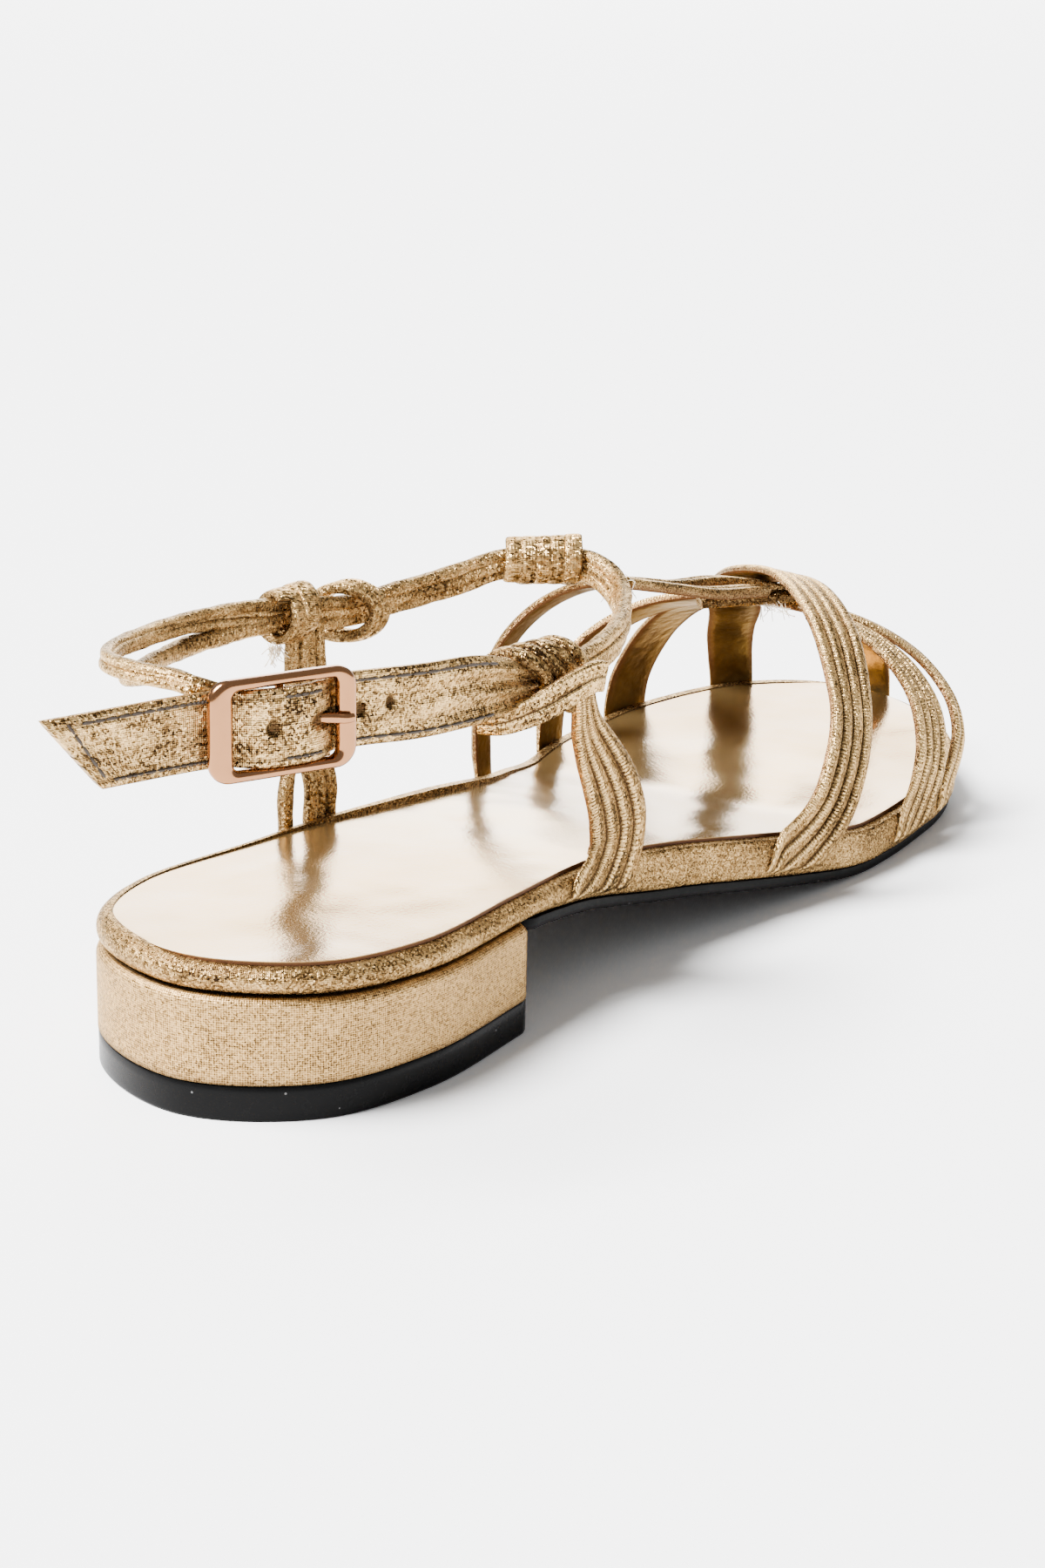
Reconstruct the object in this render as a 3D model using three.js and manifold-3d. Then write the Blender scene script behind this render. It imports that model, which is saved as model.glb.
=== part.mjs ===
import * as THREE from 'three';
import Module from 'manifold-3d';

const wasm = await Module();
wasm.setup();

// Overall sizes in millimetres. +X runs to the toe, +Y to the inner side of the foot, +Z up.
// The origin lies on the floor under the middle of the heel seat.
const footbedLength = 259;
const ballWidth = 79.9;
const heelSeatCentre = 30;
const heelRise = 17.2;
const toeSpring = 2.4;
const clearance = 0.3;

// Sole layers
const insoleThickness = 1.5;
const bandDepth = 9;
const ballBandShare = 0.9;
const outsoleThickness = 2.2;
const outsoleOverhang = 1.6;
const pipingOverhang = 2.6;
const pipingRadius = 1.3;
const rimDrop = 0.4;
const heelLength = 62.2;
const heelTipThickness = 6.2;
const heelEdgeRadius = 1.2;
const outlineSteps = 27;

// Upper
const instepHeight = 46.8;
const sectionFullness = 0.9;
const strapThickness = 2.1;
const cordThickness = 2.9;
const cordWidth = 4.4;
const crossStrapWidth = 14.5;
const toeStrapWidth = 7.5;
const instepStrapWidth = 9.5;
const uprightWidth = 16;
const innerUprightWidth = 8.5;
const innerUprightCord = 3.6;
const sideDrop = 8;
const strapSweep = 12;
const ribValley = 0.62;

// Ankle opening: an oval seen from above, its height and its cords
const collarLength = 156;
const collarWidth = 59;
const collarCentreX = 60 - heelSeatCentre;
const collarCentreY = -3;
const collarSquareness = 2.2;
const collarHeight = 66;
const ankleBandWidth = 6.4;
const coilTurn = 20.5;
const coilLength = 12.5;
const coilRadius = 4.4;
const coilTurns = 4;
const keeperLength = 9.5;
const keeperRadius = 4.6;
const slipKnotTurn = 67;
const slipKnotLength = 8.5;
const slipKnotRadius = 4.8;
const wrapSides = 12;

// Buckle and its strap
const buckleStrapWidth = 12.4;
const buckleStrapThickness = 1.8;
const tabWidth = 5.6;
const buckleLength = 26;
const buckleRail = 1.4;
const buckleTipBar = 3.8;
const buckleProngBar = 3.2;
const buckleThickness = 2;
const buckleCorner = 3.4;
const windowCorner = 1.1;
const buckleBevel = 0.5;
const pinRadius = 0.7;
const pinDepth = 1;
const prongWidth = 1.8;
const prongThickness = 1.4;
const prongSlot = 7;
const prongSlotPlace = -7.3;
const eyeletPlaces = [2.3, -14.7];
const holeDiameter = 1.9;
const tipSlant = 12;
const tipReach = 1;

// Footbed outline: along is a share of the length, inner and outer are shares of the ball width
const outlineRows = [
  { along: 0.039, inner: 0.242, outer: 0.28 },
  { along: 0.116, inner: 0.34, outer: 0.376 },
  { along: 0.232, inner: 0.289, outer: 0.386 },
  { along: 0.375, inner: 0.232, outer: 0.387 },
  { along: 0.514, inner: 0.256, outer: 0.486 },
  { along: 0.653, inner: 0.37, outer: 0.572 },
  { along: 0.757, inner: 0.42, outer: 0.58 },
  { along: 0.865, inner: 0.382, outer: 0.531 },
  { along: 0.958, inner: 0.217, outer: 0.332 },
];
const heelTipAcross = -0.036;
const toeTipAcross = -0.046;

// Side profile: rise is a share of heelRise, spring of toeSpring and band of bandDepth
const profileRows = [
  { along: -0.02, rise: 1.02, spring: 0, band: 0.64 },
  { along: 0, rise: 1, spring: 0, band: 0.64 },
  { along: 0.135, rise: 0.9, spring: 0, band: 0.62 },
  { along: 0.24, rise: 0.88, spring: 0, band: 0.6 },
  { along: 0.3, rise: 0.845, spring: 0, band: 0.72 },
  { along: 0.425, rise: 0.645, spring: 0, band: 1 },
  { along: 0.579, rise: 0.244, spring: 0, band: 1 },
  { along: 0.68, rise: 0, spring: 0, band: ballBandShare },
  { along: 0.79, rise: 0, spring: 0, band: ballBandShare },
  { along: 0.869, rise: 0, spring: 0.375, band: ballBandShare },
  { along: 0.965, rise: 0, spring: 0.92, band: ballBandShare },
  { along: 1.02, rise: 0, spring: 1.05, band: ballBandShare },
];

// Ridge of the last above the footbed, as a share of instepHeight
const ridgeRows = [
  { along: 0.2, height: 1.12 },
  { along: 0.386, height: 1.07 },
  { along: 0.483, height: 1 },
  { along: 0.579, height: 0.944 },
  { along: 0.676, height: 0.885 },
  { along: 0.772, height: 0.756 },
  { along: 0.869, height: 0.556 },
  { along: 0.946, height: 0.353 },
  { along: 0.996, height: 0.145 },
  { along: 1.014, height: 0.03 },
];

// Straps on the last. around is in degrees from the ridge: -90 is the outer feather edge and 90
// the inner one, and each degree past it is a millimetre down the side. lift is in strap
// thicknesses off the last, and wide is a share of the strap's own width.
const crossStrapRows = [
  { along: 0.526, around: -98, lift: 0, wide: 1.04 },
  { along: 0.56, around: -95, lift: 0, wide: 1 },
  { along: 0.594, around: -88.5, lift: 0, wide: 1 },
  { along: 0.622, around: -76.5, lift: 0, wide: 1 },
  { along: 0.647, around: -64, lift: 0, wide: 1 },
  { along: 0.673, around: -50, lift: 0.1, wide: 1 },
  { along: 0.71, around: -32, lift: 0.8, wide: 1 },
  { along: 0.757, around: -13, lift: 1.6, wide: 0.98 },
  { along: 0.803, around: 4, lift: 1.7, wide: 0.92 },
  { along: 0.849, around: 17, lift: 1.2, wide: 0.86 },
  { along: 0.9, around: 30, lift: 0.4, wide: 0.8 },
  { along: 0.93, around: 46, lift: 0.1, wide: 0.76 },
  { along: 0.95, around: 66, lift: 0, wide: 0.74 },
  { along: 0.957, around: 84, lift: 0, wide: 0.73 },
  { along: 0.958, around: 97, lift: 0, wide: 0.73 },
];
const underStrapRows = [
  { along: 0.712, around: -98, lift: 0, wide: 1.06 },
  { along: 0.745, around: -93.5, lift: 0, wide: 1.06 },
  { along: 0.766, around: -84, lift: 0, wide: 1.05 },
  { along: 0.781, around: -74, lift: 0, wide: 1.04 },
  { along: 0.793, around: -62, lift: 0, wide: 1 },
  { along: 0.798, around: -48, lift: 0, wide: 0.95 },
  { along: 0.799, around: -33, lift: 0, wide: 0.9 },
  { along: 0.799, around: -16, lift: -0.1, wide: 0.86 },
  { along: 0.799, around: 2, lift: -0.2, wide: 0.84 },
  { along: 0.796, around: 18, lift: -0.2, wide: 0.84 },
  { along: 0.789, around: 34, lift: 0, wide: 0.84 },
  { along: 0.775, around: 48, lift: 0, wide: 0.85 },
  { along: 0.756, around: 62, lift: 0, wide: 0.86 },
  { along: 0.739, around: 77, lift: 0, wide: 0.88 },
  { along: 0.73, around: 90, lift: 0, wide: 0.88 },
  { along: 0.729, around: 98, lift: 0, wide: 0.88 },
];
const toeStrapRows = [
  { along: 0.838, around: -97, lift: 0, wide: 0.95 },
  { along: 0.857, around: -91, lift: 0, wide: 0.95 },
  { along: 0.873, around: -80, lift: 0, wide: 0.95 },
  { along: 0.88, around: -68, lift: 0, wide: 0.95 },
  { along: 0.88, around: -56, lift: 0, wide: 0.95 },
  { along: 0.868, around: -43, lift: 0.2, wide: 0.98 },
  { along: 0.846, around: -29, lift: 0.4, wide: 1 },
  { along: 0.824, around: -14, lift: 0.4, wide: 1.05 },
  { along: 0.812, around: 1, lift: 0.4, wide: 1.15 },
  { along: 0.818, around: 16, lift: 0.3, wide: 1.3 },
  { along: 0.83, around: 31, lift: 0.1, wide: 1.45 },
  { along: 0.846, around: 46, lift: 0, wide: 1.6 },
  { along: 0.856, around: 61, lift: 0, wide: 1.7 },
  { along: 0.856, around: 77, lift: 0, wide: 1.75 },
  { along: 0.851, around: 90, lift: 0, wide: 1.8 },
  { along: 0.849, around: 98, lift: 0, wide: 1.8 },
];
const instepStrapRows = [
  { along: 0.555, around: 98, lift: 0, wide: 1 },
  { along: 0.554, around: 87, lift: 0, wide: 1 },
  { along: 0.545, around: 75, lift: 0, wide: 1 },
  { along: 0.541, around: 63, lift: 0, wide: 1 },
  { along: 0.545, around: 49, lift: 0, wide: 1 },
  { along: 0.555, around: 35, lift: 0, wide: 0.95 },
  { along: 0.564, around: 22, lift: 0, wide: 0.85 },
  { along: 0.57, around: 10, lift: 0, wide: 0.75 },
];
const upperCordRows = [
  { along: 0.538, around: 9.5, lift: -0.3, wide: 1 },
  { along: 0.6, around: 8, lift: 0, wide: 1 },
  { along: 0.66, around: 6, lift: 0.25, wide: 1 },
  { along: 0.72, around: 2.5, lift: 0.55, wide: 1 },
  { along: 0.775, around: -3, lift: 0.75, wide: 1 },
  { along: 0.83, around: -8, lift: 0.8, wide: 1 },
  { along: 0.885, around: -11, lift: 0.6, wide: 0.95 },
  { along: 0.93, around: -13, lift: 0.5, wide: 0.9 },
];
const lowerCordRows = [
  { along: 0.538, around: 1.5, lift: -0.3, wide: 1 },
  { along: 0.6, around: -1, lift: -0.15, wide: 1 },
  { along: 0.66, around: -3.5, lift: 0.05, wide: 1 },
  { along: 0.72, around: -4.5, lift: 0.25, wide: 1 },
  { along: 0.775, around: 2.5, lift: 0.6, wide: 1 },
  { along: 0.83, around: 4, lift: 0.8, wide: 1 },
  { along: 0.885, around: -1, lift: 0.6, wide: 0.95 },
  { along: 0.925, around: -5, lift: 0.5, wide: 0.9 },
];

// Toe post strap in the plane of the second toe: across and height are shares of the ball width
// and of the instep height over the footbed
const toePostAcross = -0.11;
const toePostWidth = 6.5;
const toePostRows = [
  { along: 0.885, height: 0.5 },
  { along: 0.93, height: 0.44 },
  { along: 0.97, height: 0.34 },
  { along: 1.002, height: 0.17 },
  { along: 1.015, height: -0.02 },
  { along: 1.017, height: -0.17 },
];

// Ankle cords round the collar: turn in degrees from the front, over the inner side to the back.
// reach is a share of the oval, height of the collar height, wide of the band width.
const ankleRows = [
  { turn: 192, reach: 0.89, height: 1.165, wide: 0.66 },
  { turn: 175, reach: 0.885, height: 1.17, wide: 0.66 },
  { turn: 155, reach: 0.88, height: 1.155, wide: 0.66 },
  { turn: 136, reach: 0.9, height: 1.125, wide: 0.66 },
  { turn: 119, reach: 0.95, height: 1.092, wide: 0.68 },
  { turn: 104, reach: 1, height: 1.065, wide: 0.72 },
  { turn: 91, reach: 1, height: 1.032, wide: 0.84 },
  { turn: 79, reach: 1, height: 0.985, wide: 1 },
  { turn: 68, reach: 1, height: 0.945, wide: 1 },
  { turn: 56, reach: 1, height: 0.946, wide: 1 },
  { turn: 44, reach: 1, height: 0.96, wide: 1 },
  { turn: 32, reach: 1, height: 0.99, wide: 0.95 },
  { turn: 20, reach: 1, height: 0.997, wide: 0.9 },
  { turn: 10, reach: 1, height: 0.991, wide: 0.95 },
  { turn: 1, reach: 1, height: 0.975, wide: 1 },
  { turn: -10, reach: 0.985, height: 0.937, wide: 1 },
  { turn: -24, reach: 0.93, height: 0.912, wide: 1 },
  { turn: -50, reach: 0.9, height: 0.912, wide: 1 },
  { turn: -69, reach: 0.915, height: 0.918, wide: 0.95 },
  { turn: -80, reach: 0.905, height: 0.926, wide: 0.85 },
];
const innerCordRows = [
  { turn: 194, reach: 0.87, height: 1.155, wide: 0.8 },
  { turn: 175, reach: 0.83, height: 1.14, wide: 0.8 },
  { turn: 155, reach: 0.82, height: 1.1, wide: 0.8 },
  { turn: 136, reach: 0.85, height: 1.055, wide: 0.85 },
  { turn: 119, reach: 0.92, height: 1.02, wide: 0.9 },
  { turn: 104, reach: 0.985, height: 1.003, wide: 1 },
  { turn: 92, reach: 0.995, height: 0.99, wide: 1 },
  { turn: 82, reach: 1, height: 0.975, wide: 1 },
];
const buckleStrapRows = [
  { turn: -113, reach: 1, height: 1.032, wide: 1 },
  { turn: -103, reach: 1, height: 1.012, wide: 0.96 },
  { turn: -95, reach: 0.975, height: 0.985, wide: 0.8 },
  { turn: -90, reach: 0.945, height: 0.962, wide: 0.62 },
  { turn: -85, reach: 0.92, height: 0.942, wide: 0.5 },
];
const tabRows = [
  { turn: -107, reach: 0.985, height: 0.975, wide: 0.9 },
  { turn: -100, reach: 1.03, height: 0.945, wide: 1 },
  { turn: -92, reach: 1.1, height: 0.925, wide: 1 },
  { turn: -84, reach: 1.135, height: 0.915, wide: 1 },
  { turn: -75, reach: 1.12, height: 0.905, wide: 1 },
  { turn: -68, reach: 1.06, height: 0.908, wide: 1 },
];

// Strap through the buckle: s runs along the buckle from its middle to the tip, in shares of half
// its length, and depth is out of its plane in millimetres
const buckleTurn = -138.5;
const buckleHeading = 151.7;
const buckleHeight = 1.061;
const threadRows = [
  { s: 3.15, depth: 0.4 },
  { s: 2.4, depth: -0.7 },
  { s: 1.6, depth: -1.9 },
  { s: 1.15, depth: -2.4 },
  { s: 0.9, depth: -2.45 },
  { s: 0.7, depth: -2.3 },
  { s: 0.38, depth: 0.3 },
  { s: 0.05, depth: 1.35 },
  { s: -0.3, depth: 1.2 },
  { s: -0.52, depth: 0.1 },
  { s: -0.76, depth: -2.3 },
  { s: -0.95, depth: -2.45 },
  { s: -1.2, depth: -2.3 },
];

// Inner upright: a band and a thin cord from the sole to the keeper on the ankle cords
const innerBandFoot = 0.313;
const innerCordFoot = 0.27;
const innerBandTop = 75.5;
const innerCordTop = 79.5;
const keeperTurn = 80;
const innerFootRows = [{ around: 97 }, { around: 90 }, { around: 84 }];
const innerTopRows = [
  { reach: 0.98, height: 0.6, wide: 1 },
  { reach: 0.985, height: 0.78, wide: 1 },
  { reach: 0.985, height: 0.94, wide: 0.9 },
];

// Outer upright, from the sole over the ankle cords: the hook's own places are in millimetres
// from the cords' end
const uprightRows = [
  { along: 0.29, around: -98, lift: 0, wide: 1 },
  { along: 0.325, around: -96.5, lift: 0, wide: 1 },
  { along: 0.348, around: -92.5, lift: 0, wide: 1 },
  { along: 0.352, around: -87, lift: 0, wide: 1 },
  { along: 0.347, around: -79.5, lift: 0, wide: 0.96 },
  { along: 0.34, around: -72, lift: 0, wide: 0.88 },
  { along: 0.331, around: -65, lift: 0.1, wide: 0.78 },
];
const hookRows = [
  { dx: 7, dy: -2.4, dz: -4.2, outY: -1, outZ: 0, wide: 0.72 },
  { dx: 2.5, dy: -2.4, dz: 0.8, outY: -0.95, outZ: 0.3, wide: 0.7 },
  { dx: -2, dy: -1.6, dz: 4.4, outY: -0.5, outZ: 0.85, wide: 0.68 },
  { dx: -4.5, dy: 1.2, dz: 5.2, outY: 0.3, outZ: 0.95, wide: 0.62 },
  { dx: -5.5, dy: 3.4, dz: 2, outY: 0.95, outZ: 0.2, wide: 0.56 },
  { dx: -5.5, dy: 3.4, dz: -3, outY: 1, outZ: 0, wide: 0.5 },
];

// Smooth value of a table column between its rows, with no overshoot past them
function columnAt(rows, key, column, value) {
  const last = rows.length - 1;
  if (value <= rows[0][key]) return rows[0][column];
  if (value >= rows[last][key]) return rows[last][column];
  let i = 0;
  while (value > rows[i + 1][key]) i += 1;
  const slope = (k) => (rows[k + 1][column] - rows[k][column]) / (rows[k + 1][key] - rows[k][key]);
  const tangent = (k) => {
    if (k === 0) return slope(0);
    if (k === last) return slope(last - 1);
    const before = slope(k - 1);
    const after = slope(k);
    return before * after <= 0 ? 0 : (2 * before * after) / (before + after);
  };
  const span = rows[i + 1][key] - rows[i][key];
  const t = (value - rows[i][key]) / span;
  const h = t * t * (3 - 2 * t);
  const start = rows[i][column] * (1 - h) + rows[i + 1][column] * h;
  const entry = tangent(i) * span * t * (1 - t) * (1 - t);
  const exit = tangent(i + 1) * span * t * t * (t - 1);
  return start + entry + exit;
}

function alongOf(x) {
  return (x + heelSeatCentre) / footbedLength;
}

function xOf(along) {
  return along * footbedLength - heelSeatCentre;
}

const ballStack = bandDepth * ballBandShare + clearance + outsoleThickness;

function footbedAt(x) {
  const along = alongOf(x);
  const rise = columnAt(profileRows, 'along', 'rise', along) * heelRise;
  const spring = columnAt(profileRows, 'along', 'spring', along) * toeSpring;
  return ballStack + rise + spring;
}

function bandBottomAt(x) {
  return footbedAt(x) - columnAt(profileRows, 'along', 'band', alongOf(x)) * bandDepth;
}

function outsoleTopAt(x) {
  return bandBottomAt(x) - clearance;
}

// Closed outline of the footbed, from the heel over the inner side to the toe and back
function outlineCurve() {
  const points = [new THREE.Vector3(xOf(0), heelTipAcross * ballWidth, 0)];
  for (const row of outlineRows) {
    points.push(new THREE.Vector3(xOf(row.along), row.inner * ballWidth, 0));
  }
  points.push(new THREE.Vector3(xOf(1), toeTipAcross * ballWidth, 0));
  for (const row of [...outlineRows].reverse()) {
    points.push(new THREE.Vector3(xOf(row.along), -row.outer * ballWidth, 0));
  }
  return new THREE.CatmullRomCurve3(points, true, 'centripetal');
}
const footbedOutline = outlineCurve();

function outlinePoint(turn, grow) {
  const point = footbedOutline.getPoint(turn);
  const tangent = footbedOutline.getTangent(turn);
  point.x -= grow * tangent.y;
  point.y += grow * tangent.x;
  return point;
}

// A closed body from vertices and triangles, turned so that its faces point out
function bodyFrom(vertices, triangles) {
  let volume = 0;
  for (const [a, b, c] of triangles) {
    volume += vertices[a].dot(new THREE.Vector3().crossVectors(vertices[b], vertices[c]));
  }
  const faces = volume > 0 ? triangles : triangles.map(([a, b, c]) => [a, c, b]);
  const vertProperties = new Float32Array(vertices.flatMap((v) => [v.x, v.y, v.z]));
  const triVerts = new Uint32Array(faces.flat());
  return new wasm.Manifold(new wasm.Mesh({ numProp: 3, vertProperties, triVerts }));
}

// A sole layer: rings go round the outline from its underside to its top side
function soleLayer(rings, bottomAt, topAt) {
  const around = 2 * outlineSteps;
  const vertices = [];
  const triangles = [];
  for (const ring of rings) {
    for (let i = 0; i < around; i += 1) {
      const p = outlinePoint(i / around, ring.grow);
      const z = THREE.MathUtils.lerp(bottomAt(p.x), topAt(p.x), ring.level) - (ring.down ?? 0);
      vertices.push(new THREE.Vector3(p.x, p.y, z));
    }
  }
  for (let k = 0; k + 1 < rings.length; k += 1) {
    for (let i = 0; i < around; i += 1) {
      const next = (i + 1) % around;
      const low = k * around;
      const high = low + around;
      triangles.push([low + i, low + next, high + next], [low + i, high + next, high + i]);
    }
  }
  const top = (rings.length - 1) * around;
  for (let i = 0; i < outlineSteps; i += 1) {
    const near = (around - i) % around;
    const far = around - i - 1;
    if (i < outlineSteps - 1) {
      triangles.push([top + i + 1, top + far, top + i], [i, far, i + 1]);
    }
    if (i > 0) {
      triangles.push([top + i, top + far, top + near], [near, far, i]);
    }
  }
  return bodyFrom(vertices, triangles);
}

function boxBody(x0, x1, y0, y1, z0, z1) {
  const box = new THREE.BoxGeometry(x1 - x0, y1 - y0, z1 - z0).toNonIndexed();
  box.translate((x0 + x1) / 2, (y0 + y1) / 2, (z0 + z1) / 2);
  return bodyOf(box);
}

// A body from a three.js geometry, its equal corners joined
function bodyOf(geometry) {
  const flat = geometry.index ? geometry.toNonIndexed() : geometry;
  const position = flat.attributes.position;
  const places = new Map();
  const vertices = [];
  const corners = [];
  for (let i = 0; i < position.count; i += 1) {
    const v = new THREE.Vector3().fromBufferAttribute(position, i);
    const key = [v.x, v.y, v.z].map((n) => Math.round(n * 1e4)).join();
    if (!places.has(key)) {
      places.set(key, vertices.length);
      vertices.push(v);
    }
    corners.push(places.get(key));
  }
  const triangles = [];
  for (let i = 0; i < corners.length; i += 3) {
    const [a, b, c] = corners.slice(i, i + 3);
    if (a !== b && b !== c && a !== c) triangles.push([a, b, c]);
  }
  return bodyFrom(vertices, triangles);
}

// Edge of the last on one side at x, the straps' inner faces standing clear of the sole's side
const lastGrow = pipingOverhang + clearance;
const edgeSamples = 160;
function lastEdgeTable(start, end) {
  const rows = [];
  for (let i = 0; i <= edgeSamples; i += 1) {
    const p = outlinePoint(start + ((end - start) * i) / edgeSamples, lastGrow);
    rows.push({ x: p.x, y: p.y });
  }
  return rows.filter((row, i) => i === 0 || row.x > rows[i - 1].x);
}
const innerEdge = lastEdgeTable(0, 0.5);
const outerEdge = lastEdgeTable(1, 0.5);

function edgeAt(table, x) {
  let i = 0;
  while (i < table.length - 2 && table[i + 1].x < x) i += 1;
  const t = THREE.MathUtils.clamp((x - table[i].x) / (table[i + 1].x - table[i].x), 0, 1);
  return THREE.MathUtils.lerp(table[i].y, table[i + 1].y, t);
}

// Surface of the last: full rounded sections between the feather edges
function lastSurface(along, around) {
  const x = xOf(along);
  const inner = edgeAt(innerEdge, x);
  const outer = edgeAt(outerEdge, x);
  const ridge = columnAt(ridgeRows, 'along', 'height', along) * instepHeight;
  const held = THREE.MathUtils.clamp(around, -90, 90) * THREE.MathUtils.DEG2RAD;
  const sine = Math.sign(held) * Math.abs(Math.sin(held)) ** sectionFullness;
  const cosine = Math.abs(Math.cos(held)) ** sectionFullness;
  const drop = Math.max(Math.abs(around) - 90, 0);
  const y = (inner + outer) / 2 + ((inner - outer) / 2) * sine;
  return new THREE.Vector3(x, y, footbedAt(x) + ridge * cosine - drop);
}

// A place on the last and the direction out of it
function onLast(along, around, lift) {
  const tilt = 0.5;
  const point = lastSurface(along, around);
  const ahead = lastSurface(along + 0.003, around).sub(lastSurface(along - 0.003, around));
  const over = lastSurface(along, around + tilt).sub(lastSurface(along, around - tilt));
  const out = ahead.cross(over).normalize();
  return { point: point.addScaledVector(out, lift), out };
}

// A place on the ankle oval and the direction out of it
function collarSurface(turn, reach, height) {
  const angle = turn * THREE.MathUtils.DEG2RAD;
  const c = Math.cos(angle);
  const s = Math.sin(angle);
  const square = (Math.abs(c) ** collarSquareness + Math.abs(s) ** collarSquareness);
  const radius = reach * square ** (-1 / collarSquareness);
  const x = collarCentreX + (collarLength / 2) * radius * c;
  const y = collarCentreY + (collarWidth / 2) * radius * s;
  return new THREE.Vector3(x, y, collarHeight * height);
}

function onCollar(turn, reach, height) {
  const point = collarSurface(turn, reach, height);
  const along = collarSurface(turn + 1, reach, height).sub(collarSurface(turn - 1, reach, height));
  const out = new THREE.Vector3(along.y, -along.x, 0).normalize();
  return { point, out };
}

// Own frame of the buckle: length runs to the strap's tip, up is up and face points out
const buckleCentre = collarSurface(buckleTurn, 1, buckleHeight);
const headingAngle = buckleHeading * THREE.MathUtils.DEG2RAD;
const buckleAlong = new THREE.Vector3(Math.cos(headingAngle), Math.sin(headingAngle), 0);
const buckleUp = new THREE.Vector3(0, 0, 1);
const buckleFace = new THREE.Vector3().crossVectors(buckleAlong, buckleUp).negate();

function onBuckle(length, up, face) {
  const point = buckleCentre.clone();
  point.addScaledVector(buckleAlong, length);
  point.addScaledVector(buckleUp, up);
  point.addScaledVector(buckleFace, face);
  return { point, out: buckleFace.clone() };
}

// Section of a flat band with round ribs on its outer face, in shares of width and thickness
function ribbedSection(ribs) {
  const section = [[-0.5, 0], [0.5, 0]];
  for (let k = ribs; k > 0; k -= 1) {
    const right = k / ribs - 0.5;
    const step = 1 / ribs;
    section.push([right, ribValley]);
    section.push([right - 0.28 * step, 1]);
    section.push([right - 0.72 * step, 1]);
  }
  section.push([-0.5, ribValley]);
  return section;
}

const flatSection = [[-0.5, 0.5], [-0.46, 0], [0.46, 0], [0.5, 0.5], [0.46, 1], [-0.46, 1]];
const clearSection = [[-0.5, 0], [0.5, 0], [0.5, 1], [-0.5, 1]];

// Stations along a strap: smooth curves through its places, directions and widths
function stationsOf(places, width, perPlace) {
  const path = new THREE.CatmullRomCurve3(places.map((p) => p.point), false, 'centripetal');
  const outs = new THREE.CatmullRomCurve3(places.map((p) => p.out), false, 'catmullrom', 0.5);
  const count = (places.length - 1) * perPlace;
  const stations = [];
  for (let i = 0; i <= count; i += 1) {
    const t = i / count;
    const place = Math.min(Math.floor(t * (places.length - 1)), places.length - 2);
    const share = t * (places.length - 1) - place;
    const point = path.getPoint(t);
    const tangent = path.getTangent(t);
    const side = new THREE.Vector3().crossVectors(tangent, outs.getPoint(t)).normalize();
    const out = new THREE.Vector3().crossVectors(side, tangent).normalize();
    const wide = THREE.MathUtils.lerp(places[place].wide, places[place + 1].wide, share);
    stations.push({ point, tangent, side, out, width: width * wide });
  }
  return stations;
}

// A strap swept along its stations. grow makes the larger copy that cuts its neighbours clear.
function strapBody(stations, shape, thickness, grow = 0, centred = false) {
  const section = grow > 0 ? clearSection : shape;
  const vertices = [];
  const triangles = [];
  const n = section.length;
  const last = stations.length - 1;
  const base = centred ? -thickness / 2 : 0;
  stations.forEach((station, i) => {
    const end = (i === 0 ? -grow : 0) + (i === last ? grow : 0);
    for (const [w, t] of section) {
      const v = station.point.clone().addScaledVector(station.tangent, end);
      v.addScaledVector(station.side, w * (station.width + 2 * grow));
      v.addScaledVector(station.out, base - grow + t * (thickness + 2 * grow));
      vertices.push(v);
    }
  });
  for (let i = 0; i < last; i += 1) {
    for (let k = 0; k < n; k += 1) {
      const a = i * n + k;
      const b = i * n + ((k + 1) % n);
      triangles.push([a, b, b + n], [a, b + n, a + n]);
    }
  }
  const flat = section.map(([w, t]) => new THREE.Vector2(w, t));
  const cap = THREE.ShapeUtils.triangulateShape(flat, []);
  const turned = THREE.ShapeUtils.isClockWise(flat);
  for (const [a, b, c] of cap) {
    const far = last * n;
    const near = turned ? [a, b, c] : [a, c, b];
    triangles.push(near);
    triangles.push([far + near[0], far + near[2], far + near[1]]);
  }
  return bodyFrom(vertices, triangles);
}

function lastPlaces(rows, thickness) {
  return rows.map((row) => ({ ...onLast(row.along, row.around, row.lift * thickness), wide: row.wide }));
}

function collarPlaces(rows) {
  return rows.map((row) => ({ ...onCollar(row.turn, row.reach, row.height), wide: row.wide }));
}

function joined(bodies) {
  return bodies.reduce((sum, body) => sum.add(body));
}

// Sole: a plain top piece inside the band, the wrapped band, the thin outsole and the heel
const insoleRings = [
  { grow: 0, level: 0 },
  { grow: 0, level: 1 },
];
const insoleUnderside = (x) => footbedAt(x) - insoleThickness;

function insoleBody() {
  return soleLayer(insoleRings, insoleUnderside, footbedAt);
}

function insoleSeat() {
  const rings = [
    { grow: clearance, level: 0 },
    { grow: clearance, level: 1 },
  ];
  return soleLayer(rings, (x) => insoleUnderside(x) - clearance, (x) => footbedAt(x) + pipingOverhang);
}

function midsoleBody() {
  const rings = [
    { grow: pipingOverhang - pipingRadius, level: 0 },
    { grow: pipingOverhang, level: 0.12 },
    { grow: pipingOverhang, level: 1, down: pipingRadius },
    { grow: pipingOverhang - pipingRadius * 0.3, level: 1, down: pipingRadius * 0.3 },
    { grow: pipingOverhang - pipingRadius, level: 1 },
  ];
  return soleLayer(rings, bandBottomAt, (x) => footbedAt(x) - rimDrop).subtract(insoleSeat());
}

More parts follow.
